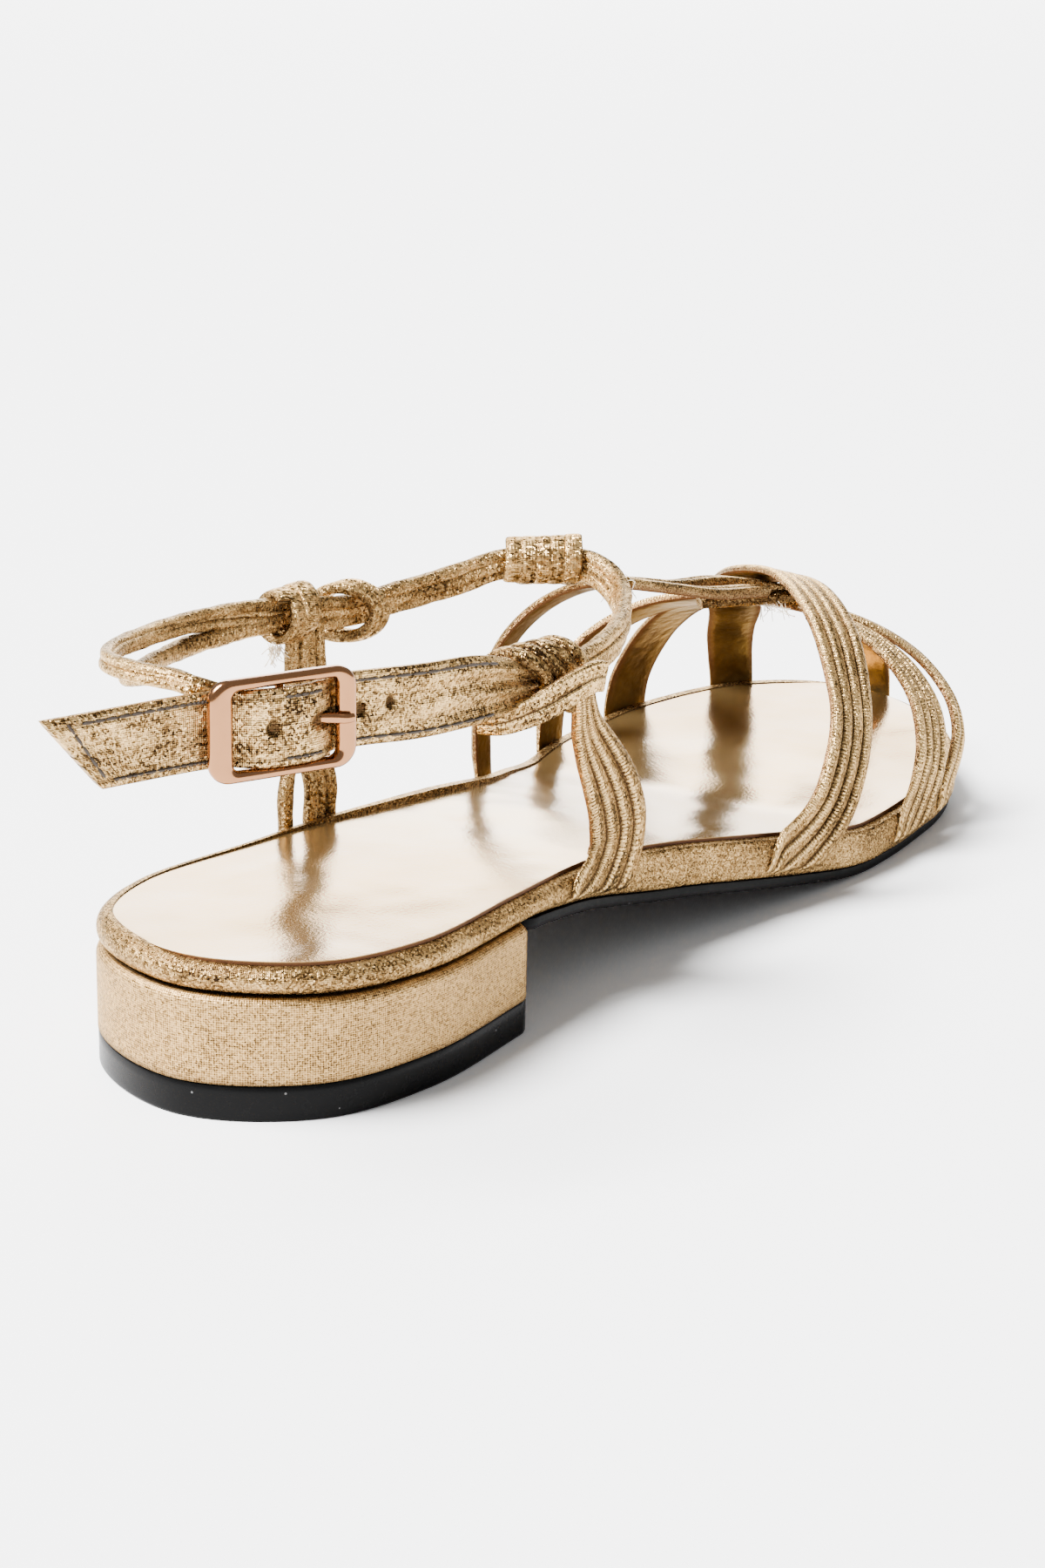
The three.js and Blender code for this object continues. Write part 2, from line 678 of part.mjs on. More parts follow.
function outsoleBody() {
  const rings = [
    { grow: outsoleOverhang - 1, level: 0 },
    { grow: outsoleOverhang, level: 0.35 },
    { grow: outsoleOverhang, level: 1 },
  ];
  const layer = soleLayer(rings, (x) => outsoleTopAt(x) - outsoleThickness, outsoleTopAt);
  const waistEnd = heelLength - heelSeatCentre + clearance;
  return layer.subtract(boxBody(-footbedLength, waistEnd, -ballWidth, ballWidth, -ballWidth, ballWidth));
}

function heelCut(body) {
  const front = heelLength - heelSeatCentre;
  return body.subtract(boxBody(front, footbedLength, -ballWidth, ballWidth, -ballWidth, ballWidth));
}

function heelBlockBody() {
  const rings = [
    { grow: pipingOverhang, level: 0 },
    { grow: pipingOverhang, level: 1, down: heelEdgeRadius },
    { grow: pipingOverhang - heelEdgeRadius * 0.3, level: 1, down: heelEdgeRadius * 0.3 },
    { grow: pipingOverhang - heelEdgeRadius, level: 1 },
  ];
  return heelCut(soleLayer(rings, () => heelTipThickness + clearance, outsoleTopAt));
}

function heelTipBody() {
  const rings = [
    { grow: pipingOverhang - 0.5, level: 0 },
    { grow: pipingOverhang, level: 0.1 },
    { grow: pipingOverhang, level: 1 },
  ];
  return heelCut(soleLayer(rings, () => 0, () => heelTipThickness));
}

function midsoleSide() {
  const rings = [
    { grow: lastGrow, level: 0 },
    { grow: lastGrow, level: 1 },
  ];
  return soleLayer(rings, (x) => bandBottomAt(x) - sideDrop, (x) => footbedAt(x) - rimDrop + clearance);
}

// What lies below the band's underside, where the straps' ends are cut off
function belowBand() {
  const rings = [
    { grow: strapSweep, level: 0 },
    { grow: strapSweep, level: 1 },
  ];
  return soleLayer(rings, (x) => bandBottomAt(x) - 3 * sideDrop, bandBottomAt);
}

// Crossed straps of the forefoot, joined where they cross
function crossStrap() {
  const stations = stationsOf(lastPlaces(crossStrapRows, strapThickness), crossStrapWidth, 2);
  return strapBody(stations, ribbedSection(4), strapThickness);
}

function underStrap() {
  const stations = stationsOf(lastPlaces(underStrapRows, strapThickness), crossStrapWidth, 2);
  return strapBody(stations, ribbedSection(4), strapThickness);
}

function toeStrap() {
  const stations = stationsOf(lastPlaces(toeStrapRows, strapThickness), toeStrapWidth, 2);
  return strapBody(stations, ribbedSection(2), strapThickness);
}

function instepStrap() {
  const stations = stationsOf(lastPlaces(instepStrapRows, strapThickness), instepStrapWidth, 2);
  return strapBody(stations, ribbedSection(2), strapThickness);
}

function instepCord(rows) {
  const stations = stationsOf(lastPlaces(rows, cordThickness), cordWidth, 2);
  return strapBody(stations, ribbedSection(1), cordThickness);
}

function toePost() {
  const places = toePostRows.map((row, i) => {
    const x = xOf(row.along);
    const z = footbedAt(x) + row.height * instepHeight;
    const lean = i / (toePostRows.length - 1);
    const out = new THREE.Vector3(0.4 + lean, 0, 1 - lean).normalize();
    return { point: new THREE.Vector3(x, toePostAcross * ballWidth, z), out, wide: 1 };
  });
  return strapBody(stationsOf(places, toePostWidth, 2), ribbedSection(2), strapThickness);
}

// Ankle cords: from the buckle round the back, through the keeper and the coil to the outer side
function ankleStations() {
  const start = [
    { ...onBuckle(2.4, 1.5, -3.4), wide: 0.78 },
    { ...onBuckle(7, 4, -5), wide: 0.72 },
    { ...onBuckle(12.5, 6.3, -6.2), wide: 0.66 },
  ];
  return stationsOf([...start, ...collarPlaces(ankleRows)], ankleBandWidth, 2);
}

function ankleCords(grow = 0) {
  const main = strapBody(ankleStations(), ribbedSection(3), cordThickness, grow, true);
  const inner = stationsOf(collarPlaces(innerCordRows), cordWidth, 2);
  return main.add(strapBody(inner, ribbedSection(1), cordThickness, grow, true));
}

// A wrap of cord round the ankle cords, turned about their line: a barrel with a groove a turn
function wrapBody(turn, height, length, radius, turns, flatness) {
  const profile = [new THREE.Vector2(0, -length / 2)];
  const pitch = length / turns;
  for (let k = 0; k < turns; k += 1) {
    const low = -length / 2 + k * pitch;
    profile.push(new THREE.Vector2(radius * 0.88, low + pitch * 0.06));
    profile.push(new THREE.Vector2(radius, low + pitch * 0.3));
    profile.push(new THREE.Vector2(radius, low + pitch * 0.7));
  }
  profile.push(new THREE.Vector2(radius * 0.88, length / 2 - pitch * 0.06));
  profile.push(new THREE.Vector2(0, length / 2));
  const barrel = new THREE.LatheGeometry(profile, wrapSides);
  const { point, out } = onCollar(turn, 1, height);
  const ahead = onCollar(turn - 2, 1, height).point.sub(onCollar(turn + 2, 1, height).point).normalize();
  const up = new THREE.Vector3().crossVectors(out, ahead);
  barrel.scale(flatness, 1, 1);
  barrel.applyMatrix4(new THREE.Matrix4().makeBasis(out, ahead, up).setPosition(point));
  return bodyOf(barrel);
}

function coilWrap() {
  return wrapBody(coilTurn, 0.997, coilLength, coilRadius, coilTurns, 0.92);
}

function slipKnot() {
  return wrapBody(slipKnotTurn, 0.944, slipKnotLength, slipKnotRadius, 2, 0.9);
}

function innerUpright() {
  const foot = (along) => innerFootRows.map((row) => ({ ...onLast(along, row.around, 0), wide: 1 }));
  const top = (turn) => innerTopRows.map((row) => (
    { ...onCollar(turn, row.reach, row.height), wide: row.wide }
  ));
  const band = stationsOf([...foot(innerBandFoot), ...top(innerBandTop)], innerUprightWidth, 2);
  const cord = stationsOf([...foot(innerCordFoot), ...top(innerCordTop)], innerUprightCord, 2);
  const keeper = wrapBody(keeperTurn, 0.988, keeperLength, keeperRadius, 2, 0.9);
  const ribs = strapBody(band, ribbedSection(3), strapThickness);
  return joined([ribs, strapBody(cord, ribbedSection(1), strapThickness), keeper]);
}

function outerUpright(grow = 0) {
  const end = collarPlaces(ankleRows).at(-1).point;
  const hook = hookRows.map((row) => ({
    point: end.clone().add(new THREE.Vector3(row.dx, row.dy, row.dz)),
    out: new THREE.Vector3(0, row.outY, row.outZ).normalize(),
    wide: row.wide,
  }));
  const places = [...lastPlaces(uprightRows, strapThickness), ...hook];
  return strapBody(stationsOf(places, uprightWidth, 2), ribbedSection(4), strapThickness, grow);
}

// Buckle strap: threaded under, over and under the buckle's bars, its end cut slantwise
function threadPlaces() {
  const half = buckleLength / 2;
  return threadRows.map((row) => ({ ...onBuckle(row.s * half, 0, row.depth), wide: 1 }));
}

function buckleStrapMain(grow = 0) {
  const places = [...threadPlaces(), ...collarPlaces(buckleStrapRows)];
  const stations = stationsOf(places, buckleStrapWidth, 2);
  return strapBody(stations, flatSection, buckleStrapThickness, grow, true);
}

function strapHole(s, radius, stretch) {
  const hole = new THREE.CylinderGeometry(radius, radius, 12, 12);
  hole.scale(stretch, 1, 1);
  const { point } = onBuckle(s, 0, 0);
  hole.applyMatrix4(new THREE.Matrix4().makeBasis(buckleAlong, buckleFace, buckleUp).setPosition(point));
  return bodyOf(hole);
}

function slantCut() {
  const half = buckleLength / 2;
  const reach = threadRows[0].s * half;
  const wedge = new THREE.Shape();
  wedge.moveTo(reach + tipSlant, buckleStrapWidth);
  wedge.lineTo(reach + tipReach, buckleStrapWidth);
  wedge.lineTo(reach + tipReach - tipSlant, -buckleStrapWidth);
  wedge.lineTo(reach + tipSlant, -buckleStrapWidth);
  const cut = new THREE.ExtrudeGeometry(wedge, { depth: buckleLength, bevelEnabled: false });
  const { point } = onBuckle(0, 0, -half);
  cut.applyMatrix4(new THREE.Matrix4().makeBasis(buckleAlong, buckleUp, buckleFace).setPosition(point));
  return bodyOf(cut);
}

function buckleStrapBody() {
  const tabStations = stationsOf(collarPlaces(tabRows), tabWidth, 2);
  const tab = strapBody(tabStations, flatSection, buckleStrapThickness, 0, true);
  const held = tab.subtract(outerUpright(clearance));
  const prongHole = strapHole(prongSlotPlace, prongWidth / 2 + clearance, prongSlot / prongWidth);
  const holes = eyeletPlaces.map((place) => strapHole(place, holeDiameter / 2, 1));
  return buckleStrapMain().subtract(joined([prongHole, ...holes, slantCut()])).add(held);
}

// Rounded rectangle drawn into a shape or path, from low to high along its length
function roundedRectangle(shape, low, high, half, corner) {
  shape.moveTo(low + corner, -half);
  shape.lineTo(high - corner, -half);
  shape.quadraticCurveTo(high, -half, high, -half + corner);
  shape.lineTo(high, half - corner);
  shape.quadraticCurveTo(high, half, high - corner, half);
  shape.lineTo(low + corner, half);
  shape.quadraticCurveTo(low, half, low, half - corner);
  shape.lineTo(low, -half + corner);
  shape.quadraticCurveTo(low, -half, low + corner, -half);
  return shape;
}

const buckleMatrix = new THREE.Matrix4()
  .makeBasis(buckleAlong, buckleUp, buckleFace)
  .setPosition(buckleCentre);

function buckleFrameBody() {
  const windowHalf = buckleStrapWidth / 2 + clearance;
  const half = buckleLength / 2;
  const shape = roundedRectangle(new THREE.Shape(), -half, half, windowHalf + buckleRail, buckleCorner);
  const windowLow = -half + buckleProngBar;
  const windowHigh = half - buckleTipBar;
  shape.holes.push(roundedRectangle(new THREE.Path(), windowLow, windowHigh, windowHalf, windowCorner));
  const ring = new THREE.ExtrudeGeometry(shape, {
    depth: buckleThickness - 2 * buckleBevel,
    bevelSize: buckleBevel,
    bevelThickness: buckleBevel,
    bevelOffset: -buckleBevel,
    bevelSegments: 2,
    curveSegments: 4,
  });
  ring.translate(0, 0, buckleBevel - buckleThickness / 2);
  ring.applyMatrix4(buckleMatrix);
  const pin = new THREE.CylinderGeometry(pinRadius, pinRadius, 2 * windowHalf + buckleRail, 8);
  pin.translate(0, 0, -pinDepth);
  pin.applyMatrix4(buckleMatrix);
  return bodyOf(ring).add(bodyOf(pin));
}

// Prong: an eye round the hidden middle bar and a shank that comes up through the strap
function prongBody() {
  const eyeRadius = pinRadius + clearance + prongThickness / 2;
  const bar = buckleLength / 2 - buckleProngBar / 2;
  const rest = buckleThickness / 2 + clearance + prongThickness / 2;
  const places = [
    { ...onBuckle(-eyeRadius * 0.7, 0, -pinDepth), wide: 1 },
    { ...onBuckle(-bar * 0.35, 0, -0.6), wide: 1 },
    { ...onBuckle(-bar * 0.7, 0, 0.55), wide: 1 },
    { ...onBuckle(-bar * 0.88, 0, rest), wide: 0.95 },
    { ...onBuckle(-bar - buckleProngBar * 0.45, 0, rest), wide: 0.85 },
  ];
  const shank = strapBody(stationsOf(places, prongWidth, 3), flatSection, prongThickness, 0, true);
  const outer = eyeRadius + prongThickness / 2;
  const inner = eyeRadius - prongThickness / 2;
  const eye = new THREE.CylinderGeometry(outer, outer, prongWidth, 12);
  const bore = new THREE.CylinderGeometry(inner, inner, 3 * prongWidth, 12);
  for (const part of [eye, bore]) {
    part.translate(0, 0, -pinDepth);
    part.applyMatrix4(buckleMatrix);
  }
  return shank.add(bodyOf(eye).subtract(strapGrown)).subtract(bodyOf(bore));
}

// Finishes
function finish(color, roughness, metalness) {
  return new THREE.MeshStandardMaterial({ color, roughness, metalness });
}

function meshOf(name, body, material) {
  const data = body.getMesh();
  const geometry = new THREE.BufferGeometry();
  geometry.setAttribute('position', new THREE.BufferAttribute(data.vertProperties, 3));
  geometry.setIndex(new THREE.BufferAttribute(data.triVerts, 1));
  geometry.computeVertexNormals();
  const mesh = new THREE.Mesh(geometry, material);
  mesh.name = name;
  return mesh;
}

const cordsGrown = ankleCords(clearance);
const strapGrown = buckleStrapMain(clearance);
const soleSide = midsoleSide().add(belowBand());

const forefoot = joined([
  underStrap(),
  toeStrap(),
  crossStrap(),
  instepCord(upperCordRows),
  instepCord(lowerCordRows),
  instepStrap(),
  toePost(),
]);

const gold = finish(0xc6a970, 0.4, 0.65);
const paleGold = finish(0xcdb07a, 0.4, 0.65);
const darkGold = finish(0xc2a468, 0.4, 0.65);
const roseMetal = finish(0xd9a184, 0.2, 1);
const blackGloss = finish(0x141312, 0.25, 0);
const blackRubber = finish(0x1b1a19, 0.6, 0);
const glossGold = finish(0xd9bd86, 0.25, 0.7);

const innerSide = innerUpright().subtract(cordsGrown).subtract(soleSide);
const outerSide = outerUpright().subtract(cordsGrown).subtract(strapGrown).subtract(soleSide);

const group = new THREE.Group();
group.add(meshOf('heel_tip', heelTipBody(), blackGloss));
group.add(meshOf('heel_block', heelBlockBody(), paleGold));
group.add(meshOf('outsole', outsoleBody(), blackRubber));
group.add(meshOf('midsole', midsoleBody(), paleGold));
group.add(meshOf('insole', insoleBody(), glossGold));
group.add(meshOf('upper', forefoot.subtract(soleSide).subtract(cordsGrown), gold));
group.add(meshOf('ankle_cords', ankleCords(), darkGold));
group.add(meshOf('coil_wrap', coilWrap().subtract(cordsGrown), paleGold));
group.add(meshOf('slip_knot', slipKnot().subtract(cordsGrown), paleGold));
group.add(meshOf('inner_upright', innerSide, darkGold));
group.add(meshOf('outer_upright', outerSide, darkGold));
group.add(meshOf('buckle_strap', buckleStrapBody(), gold));
group.add(meshOf('buckle_frame', buckleFrameBody(), roseMetal));
group.add(meshOf('buckle_prong', prongBody(), roseMetal));

export default group;
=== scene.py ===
import math

import bmesh
import bpy
import numpy as np
from mathutils import Matrix


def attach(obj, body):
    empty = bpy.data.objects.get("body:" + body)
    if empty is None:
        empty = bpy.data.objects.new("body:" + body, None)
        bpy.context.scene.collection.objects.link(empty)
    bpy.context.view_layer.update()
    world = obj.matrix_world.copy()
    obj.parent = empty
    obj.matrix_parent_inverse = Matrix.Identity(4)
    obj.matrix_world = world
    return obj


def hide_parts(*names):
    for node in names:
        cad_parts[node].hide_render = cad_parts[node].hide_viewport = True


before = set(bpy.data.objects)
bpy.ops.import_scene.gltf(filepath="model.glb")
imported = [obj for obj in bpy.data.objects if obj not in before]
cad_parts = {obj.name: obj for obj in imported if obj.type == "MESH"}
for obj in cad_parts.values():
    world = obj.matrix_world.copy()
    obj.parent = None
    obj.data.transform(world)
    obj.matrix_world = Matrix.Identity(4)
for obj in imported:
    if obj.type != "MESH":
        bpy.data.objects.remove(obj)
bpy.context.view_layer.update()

print("frame loaded")

# Lengths below are millimetres and become metres when a mesh is made.
# X runs to the toe, Y to the inner side of the foot, Z up.

# smooth curves and tables


def unit(v):
    # each vector over its own length
    return v / np.linalg.norm(v, axis=-1, keepdims=True)


def curveAt(points, t, closed=False, uniform=False):
    # Catmull-Rom: a cubic between each two points whose end slopes come from their neighbours,
    # timed by the square root of the gaps unless it is uniform
    points = np.asarray(points, float)
    spans = len(points) if closed else len(points) - 1
    if closed:
        near = np.vstack([points[-1:], points, points[:2]])
    else:
        near = np.vstack([2 * points[:1] - points[1:2], points, 2 * points[-1:] - points[-2:-1]])
    place = np.clip(np.asarray(t, float), 0, 1) * spans
    i = np.minimum(place.astype(int), spans - 1)
    w = (place - i)[..., None]
    a, b, c, d = near[i], near[i + 1], near[i + 2], near[i + 3]
    if uniform:
        start, end = (c - a) / 2, (d - b) / 2
    else:
        e, f, g = (np.sqrt(np.linalg.norm(step, axis=-1, keepdims=True))
                   for step in (b - a, c - b, d - c))
        start = ((b - a) / e - (c - a) / (e + f) + (c - b) / f) * f
        end = ((c - b) / f - (d - b) / (f + g) + (d - c) / g) * f
    square = 3 * (c - b) - 2 * start - end
    cube = 2 * (b - c) + start + end
    return b + start * w + square * w ** 2 + cube * w ** 3


def columnAt(rows, column, value):
    # monotone cubic through one column of a table, read at the first column's value
    key, out = rows[:, 0], rows[:, column]
    slope = np.diff(out) / np.diff(key)
    product, total = slope[:-1] * slope[1:], slope[:-1] + slope[1:]
    middle = np.where(product > 0, 2 * product / np.where(product > 0, total, 1), 0)
    tangent = np.concatenate([slope[:1], middle, slope[-1:]])
    v = np.clip(value, key[0], key[-1])
    i = np.clip(np.searchsorted(key, v, side="right") - 1, 0, len(key) - 2)
    span = key[i + 1] - key[i]
    t = (v - key[i]) / span
    h = t * t * (3 - 2 * t)
    bend = tangent[i] * span * t * (1 - t) ** 2 + tangent[i + 1] * span * t * t * (t - 1)
    return out[i] * (1 - h) + out[i + 1] * h + bend


def wobble(*phases):
    # a soft uneven wave between about -1 and 1: three sines whose lengths don't fit each other
    x = sum(phases)
    return 0.5 * np.sin(x) + 0.3 * np.sin(1.73 * x + 1.1) + 0.2 * np.sin(3.1 * x + 2.3)


# the last: footbed outline, side profile and the rounded body over it

last = dict(length=259, ball=79.9, seat=30, heelRise=17.2, toeSpring=2.4, band=9, bandAtBall=0.9,
            outsole=2.2, clearance=0.3, overhang=2.6, instep=46.8, fullness=0.9, heelLength=62.2)

outlineRows = np.array([  # share of length, inner and outer share of the ball width
    (0.039, 0.242, 0.28), (0.116, 0.34, 0.376), (0.232, 0.289, 0.386), (0.375, 0.232, 0.387),
    (0.514, 0.256, 0.486), (0.653, 0.37, 0.572), (0.757, 0.42, 0.58), (0.865, 0.382, 0.531),
    (0.958, 0.217, 0.332)])
profileRows = np.array([  # share of length, heel rise, toe spring, band depth
    (-0.02, 1.02, 0, 0.64), (0, 1, 0, 0.64), (0.135, 0.9, 0, 0.62), (0.24, 0.88, 0, 0.6),
    (0.3, 0.845, 0, 0.72), (0.425, 0.645, 0, 1), (0.579, 0.244, 0, 1), (0.68, 0, 0, 0.9),
    (0.79, 0, 0, 0.9), (0.869, 0, 0.375, 0.9), (0.965, 0, 0.92, 0.9), (1.02, 0, 1.05, 0.9)])
ridgeRows = np.array([  # share of length, height of the last over the footbed
    (0.2, 1.12), (0.386, 1.07), (0.483, 1), (0.579, 0.944), (0.676, 0.885), (0.772, 0.756),
    (0.869, 0.556), (0.946, 0.353), (0.996, 0.145), (1.014, 0.03)])


def xOf(along):
    # share of the length to x: the origin lies under the middle of the heel seat
    return along * last["length"] - last["seat"]


def alongOf(x):
    # x back to a share of the length
    return (x + last["seat"]) / last["length"]


def footbedAt(x):
    # height of the footbed: the ball's layers, plus the heel's rise and the toe's spring
    base = last["band"] * last["bandAtBall"] + last["clearance"] + last["outsole"]
    along = alongOf(x)
    rise = columnAt(profileRows, 1, along) * last["heelRise"]
    return base + rise + columnAt(profileRows, 2, along) * last["toeSpring"]


def bandBottomAt(x):
    # the footbed less the band's depth there
    return footbedAt(x) - columnAt(profileRows, 3, alongOf(x)) * last["band"]


outlinePoints = np.vstack([
    [[xOf(0), -0.036 * last["ball"]]],
    np.stack([xOf(outlineRows[:, 0]), outlineRows[:, 1] * last["ball"]], -1),
    [[xOf(1), -0.046 * last["ball"]]],
    np.stack([xOf(outlineRows[::-1, 0]), -outlineRows[::-1, 2] * last["ball"]], -1)])


def outlineAt(turn, grow=0):
    # the footbed's outline at a share of a turn, moved out square to itself by grow
    point = curveAt(outlinePoints, turn, closed=True)
    step = 1e-4
    after = curveAt(outlinePoints, (turn + step) % 1, True)
    along = unit(after - curveAt(outlinePoints, (turn - step) % 1, True))
    return point + np.asarray(grow)[..., None] * np.stack([-along[..., 1], along[..., 0]], -1)


def edgeTable(start, end):
    # one side of the outline with its overhang, as x and y where x still grows
    p = outlineAt(np.linspace(start, end, 161), last["overhang"] + last["clearance"])
    keep = np.concatenate([[True], np.diff(p[:, 0]) > 0])
    return p[keep]


innerEdge, outerEdge = edgeTable(0, 0.5), edgeTable(1, 0.5)


def lastSurface(along, around):
    # rounded sections: sine and cosine to the power of the fullness between the feather edges,
    # and straight down past 90 degrees, a millimetre for each degree
    x = xOf(along)
    inner = np.interp(x, innerEdge[:, 0], innerEdge[:, 1])
    outer = np.interp(x, outerEdge[:, 0], outerEdge[:, 1])
    ridge = columnAt(ridgeRows, 1, along) * last["instep"]
    held = np.radians(np.clip(around, -90, 90))
    sine = np.sign(held) * np.abs(np.sin(held)) ** last["fullness"]
    cosine = np.abs(np.cos(held)) ** last["fullness"]
    y = (inner + outer) / 2 + (inner - outer) / 2 * sine
    z = footbedAt(x) + ridge * cosine - np.maximum(np.abs(around) - 90, 0)
    return np.stack([x, y, z], -1)


def onLast(along, around, lift):
    # a place lifted off the last along its normal, the cross product of its two slopes
    ahead = lastSurface(along + 0.003, around) - lastSurface(along - 0.003, around)
    over = lastSurface(along, around + 0.5) - lastSurface(along, around - 0.5)
    out = unit(np.cross(ahead, over))
    return lastSurface(along, around) + out * np.asarray(lift)[..., None], out


# the ankle oval and the buckle's own frame

collar = dict(length=156, width=59, centreX=30, centreY=-3, squareness=2.2, height=66)


def collarSurface(turn, reach, height):
    # a superellipse seen from above
    a = np.radians(turn)
    c, s = np.cos(a), np.sin(a)
    k = collar["squareness"]
    radius = reach * (np.abs(c) ** k + np.abs(s) ** k) ** (-1 / k)
    x = collar["centreX"] + collar["length"] / 2 * radius * c
    y = collar["centreY"] + collar["width"] / 2 * radius * s
    return np.stack([x, y, collar["height"] * np.asarray(height) + 0 * x], -1)


def onCollar(turn, reach, height):
    # a place on the oval and its level normal, the way along turned by 90 degrees
    d = collarSurface(turn + 1, reach, height) - collarSurface(turn - 1, reach, height)
    out = np.stack([d[..., 1], -d[..., 0], 0 * d[..., 0]], -1)
    return collarSurface(turn, reach, height), unit(out)


buckleSeat = dict(heading=151.7, turn=-138.5, height=1.061)  # degrees, degrees, share of the oval's
heading = np.radians(buckleSeat["heading"])
buckleCentre = collarSurface(buckleSeat["turn"], 1, buckleSeat["height"])
buckleAlong = np.array([np.cos(heading), np.sin(heading), 0])
buckleUp = np.array([0, 0, 1.0])
buckleFace = -np.cross(buckleAlong, buckleUp)


def onBuckle(length, up, face):
    # a place by its lengths along the buckle, up it and out of its face
    length, up, face = np.broadcast_arrays(*(np.asarray(v, float) for v in (length, up, face)))
    flat = buckleCentre + length[..., None] * buckleAlong + up[..., None] * buckleUp
    return flat + face[..., None] * buckleFace


# meshes from grids


def gridPart(grid, uv, marks=None, look=0, ring=True, loop=False, caps=True):
    # faces between the neighbours of an n by m grid. ring closes it across, loop along, and caps
    # close its two ends with fans round their middles. It is turned so that its faces point out.
    n, m = grid.shape[:2]
    i = np.arange(n if loop else n - 1)[:, None]
    j = np.arange(m if ring else m - 1)[None, :]
    corners = ((i, j), (i, j + 1), (i + 1, j + 1), (i + 1, j))
    quads = np.stack([(a % n) * m + b % m for a, b in corners], -1).reshape(-1, 4)
    quadUv = np.stack([uv[a + 0 * j, b + 0 * i] for a, b in corners], -2).reshape(-1, 4, 2)
    looks = np.broadcast_to(look, (i.shape[0], j.shape[1])).reshape(-1)
    verts = grid.reshape(-1, 3)
    marks = {k: np.broadcast_to(v, (n, m)).reshape(-1) for k, v in (marks or {}).items()}
    tris = np.zeros((0, 3), int)
    triUv = np.zeros((0, 3, 2))
    if caps:
        j = np.arange(m)
        k = (j + 1) % m
        verts = np.vstack([verts, grid[0].mean(0), grid[-1].mean(0)])
        marks = {key: np.append(v, [v[0], v[-1]]) for key, v in marks.items()}
        top = (n - 1) * m
        tris = np.vstack([np.stack([0 * j + n * m, k, j], -1),
                          np.stack([0 * j + n * m + 1, top + j, top + k], -1)])
        ends = [np.stack([0 * uv[r, :m] + uv[r].mean(0), uv[r, p], uv[r, q]], -2)
                for r, p, q in ((0, k, j), (-1, j, k))]
        triUv = np.concatenate(ends)
        looks = np.append(looks, np.full(2 * m, np.max(look)))
    a, b, c, d = (verts[quads[:, k]] - verts.mean(0) for k in range(4))
    part = dict(verts=verts, quads=quads, quadUv=quadUv, tris=tris, triUv=triUv, looks=looks,
                marks=marks)
    return turnFaces(part, np.sum(a * np.cross(b, c) + a * np.cross(c, d)) < 0)


def turnFaces(part, wrong):
    # where the faces look the wrong way, their corners run backwards
    if wrong:
        for key in ("quads", "quadUv", "tris", "triUv"):
            part[key] = part[key][:, ::-1]
    return part


def uvOf(along, around):
    # a grid's texture places: the length along it and the length around it
    return np.stack(np.broadcast_arrays(along[:, None], around), -1)


def makePiece(name, parts, materials, replaces=(), sharp=55, weld=False):
    # joins grid parts into one mesh object in metres, with their UV and marks. weld merges the
    # points that the parts share and fills what is still open, so that a wall and its lids close.
    mesh = bpy.data.meshes.new(name)
    verts, faces, uvs, looks, base = [], [], [], [], 0
    for part in parts:
        verts.append(part["verts"])
        faces += (part["quads"] + base).tolist() + (part["tris"] + base).tolist()
        uvs += [part["quadUv"].reshape(-1, 2), part["triUv"].reshape(-1, 2)]
        looks.append(part["looks"])
        base += len(part["verts"])
    mesh.from_pydata((np.vstack(verts) * 0.001).tolist(), [], faces)
    mesh.uv_layers.new(name="Cloth").data.foreach_set("uv", np.vstack(uvs).astype(np.float32).ravel())
    # marks on the points: groove for painted shade, bead for bumps and painted highlight, edge for raw
    # edges
    for key in ("groove", "bead", "edge"):
        values = [part["marks"].get(key, np.zeros(len(part["verts"]))) for part in parts]
        layer = mesh.attributes.new(key, "FLOAT", "POINT")
        layer.data.foreach_set("value", np.concatenate(values).astype(np.float32))
    mesh.polygons.foreach_set("material_index", np.concatenate(looks).astype(np.int32))
    if weld:
        shape = bmesh.new()
        shape.from_mesh(mesh)
        bmesh.ops.remove_doubles(shape, verts=shape.verts, dist=1e-6)
        bmesh.ops.holes_fill(shape, edges=shape.edges, sides=0)
        bmesh.ops.recalc_face_normals(shape, faces=shape.faces)
        shape.to_mesh(mesh)
        shape.free()
    mesh.polygons.foreach_set("use_smooth", np.ones(len(mesh.polygons), bool))
    mesh.set_sharp_from_angle(angle=math.radians(sharp))
    for material in materials:
        mesh.materials.append(material)
    mesh.update()
    piece = bpy.data.objects.new(name, mesh)
    bpy.context.scene.collection.objects.link(piece)
    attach(piece, "root")
    if replaces:
        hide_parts(*replaces)
    print(name, len(mesh.polygons), "faces")
    return piece


# materials


def newMaterial(name, metallic, color=None, roughness=None):
    # a principled material with constants on its sockets
    material = bpy.data.materials.new(name)
    material.use_nodes = True
    tree = material.node_tree
    shader = tree.nodes["Principled BSDF"]
    shader.inputs["Metallic"].default_value = metallic
    if color is not None:
        shader.inputs["Base Color"].default_value = (*color, 1)
        material.diffuse_color = (*color, 1)
    if roughness is not None:
        shader.inputs["Roughness"].default_value = roughness
    return material, tree, shader


def addNode(tree, kind, inputs=None, **settings):
    # a node whose inputs are links or constants
    node = tree.nodes.new("ShaderNode" + kind)
    for key, value in settings.items():
        setattr(node, key, value)
    for key, value in (inputs or {}).items():
        if isinstance(value, bpy.types.NodeSocket):
            tree.links.new(value, node.inputs[key])
        else:
            node.inputs[key].default_value = value
    return node


def calc(tree, operation, a, b=0.0, c=0.0):
    # one sum of numbers
    return addNode(tree, "Math", {0: a, 1: b, 2: c}, operation=operation).outputs[0]


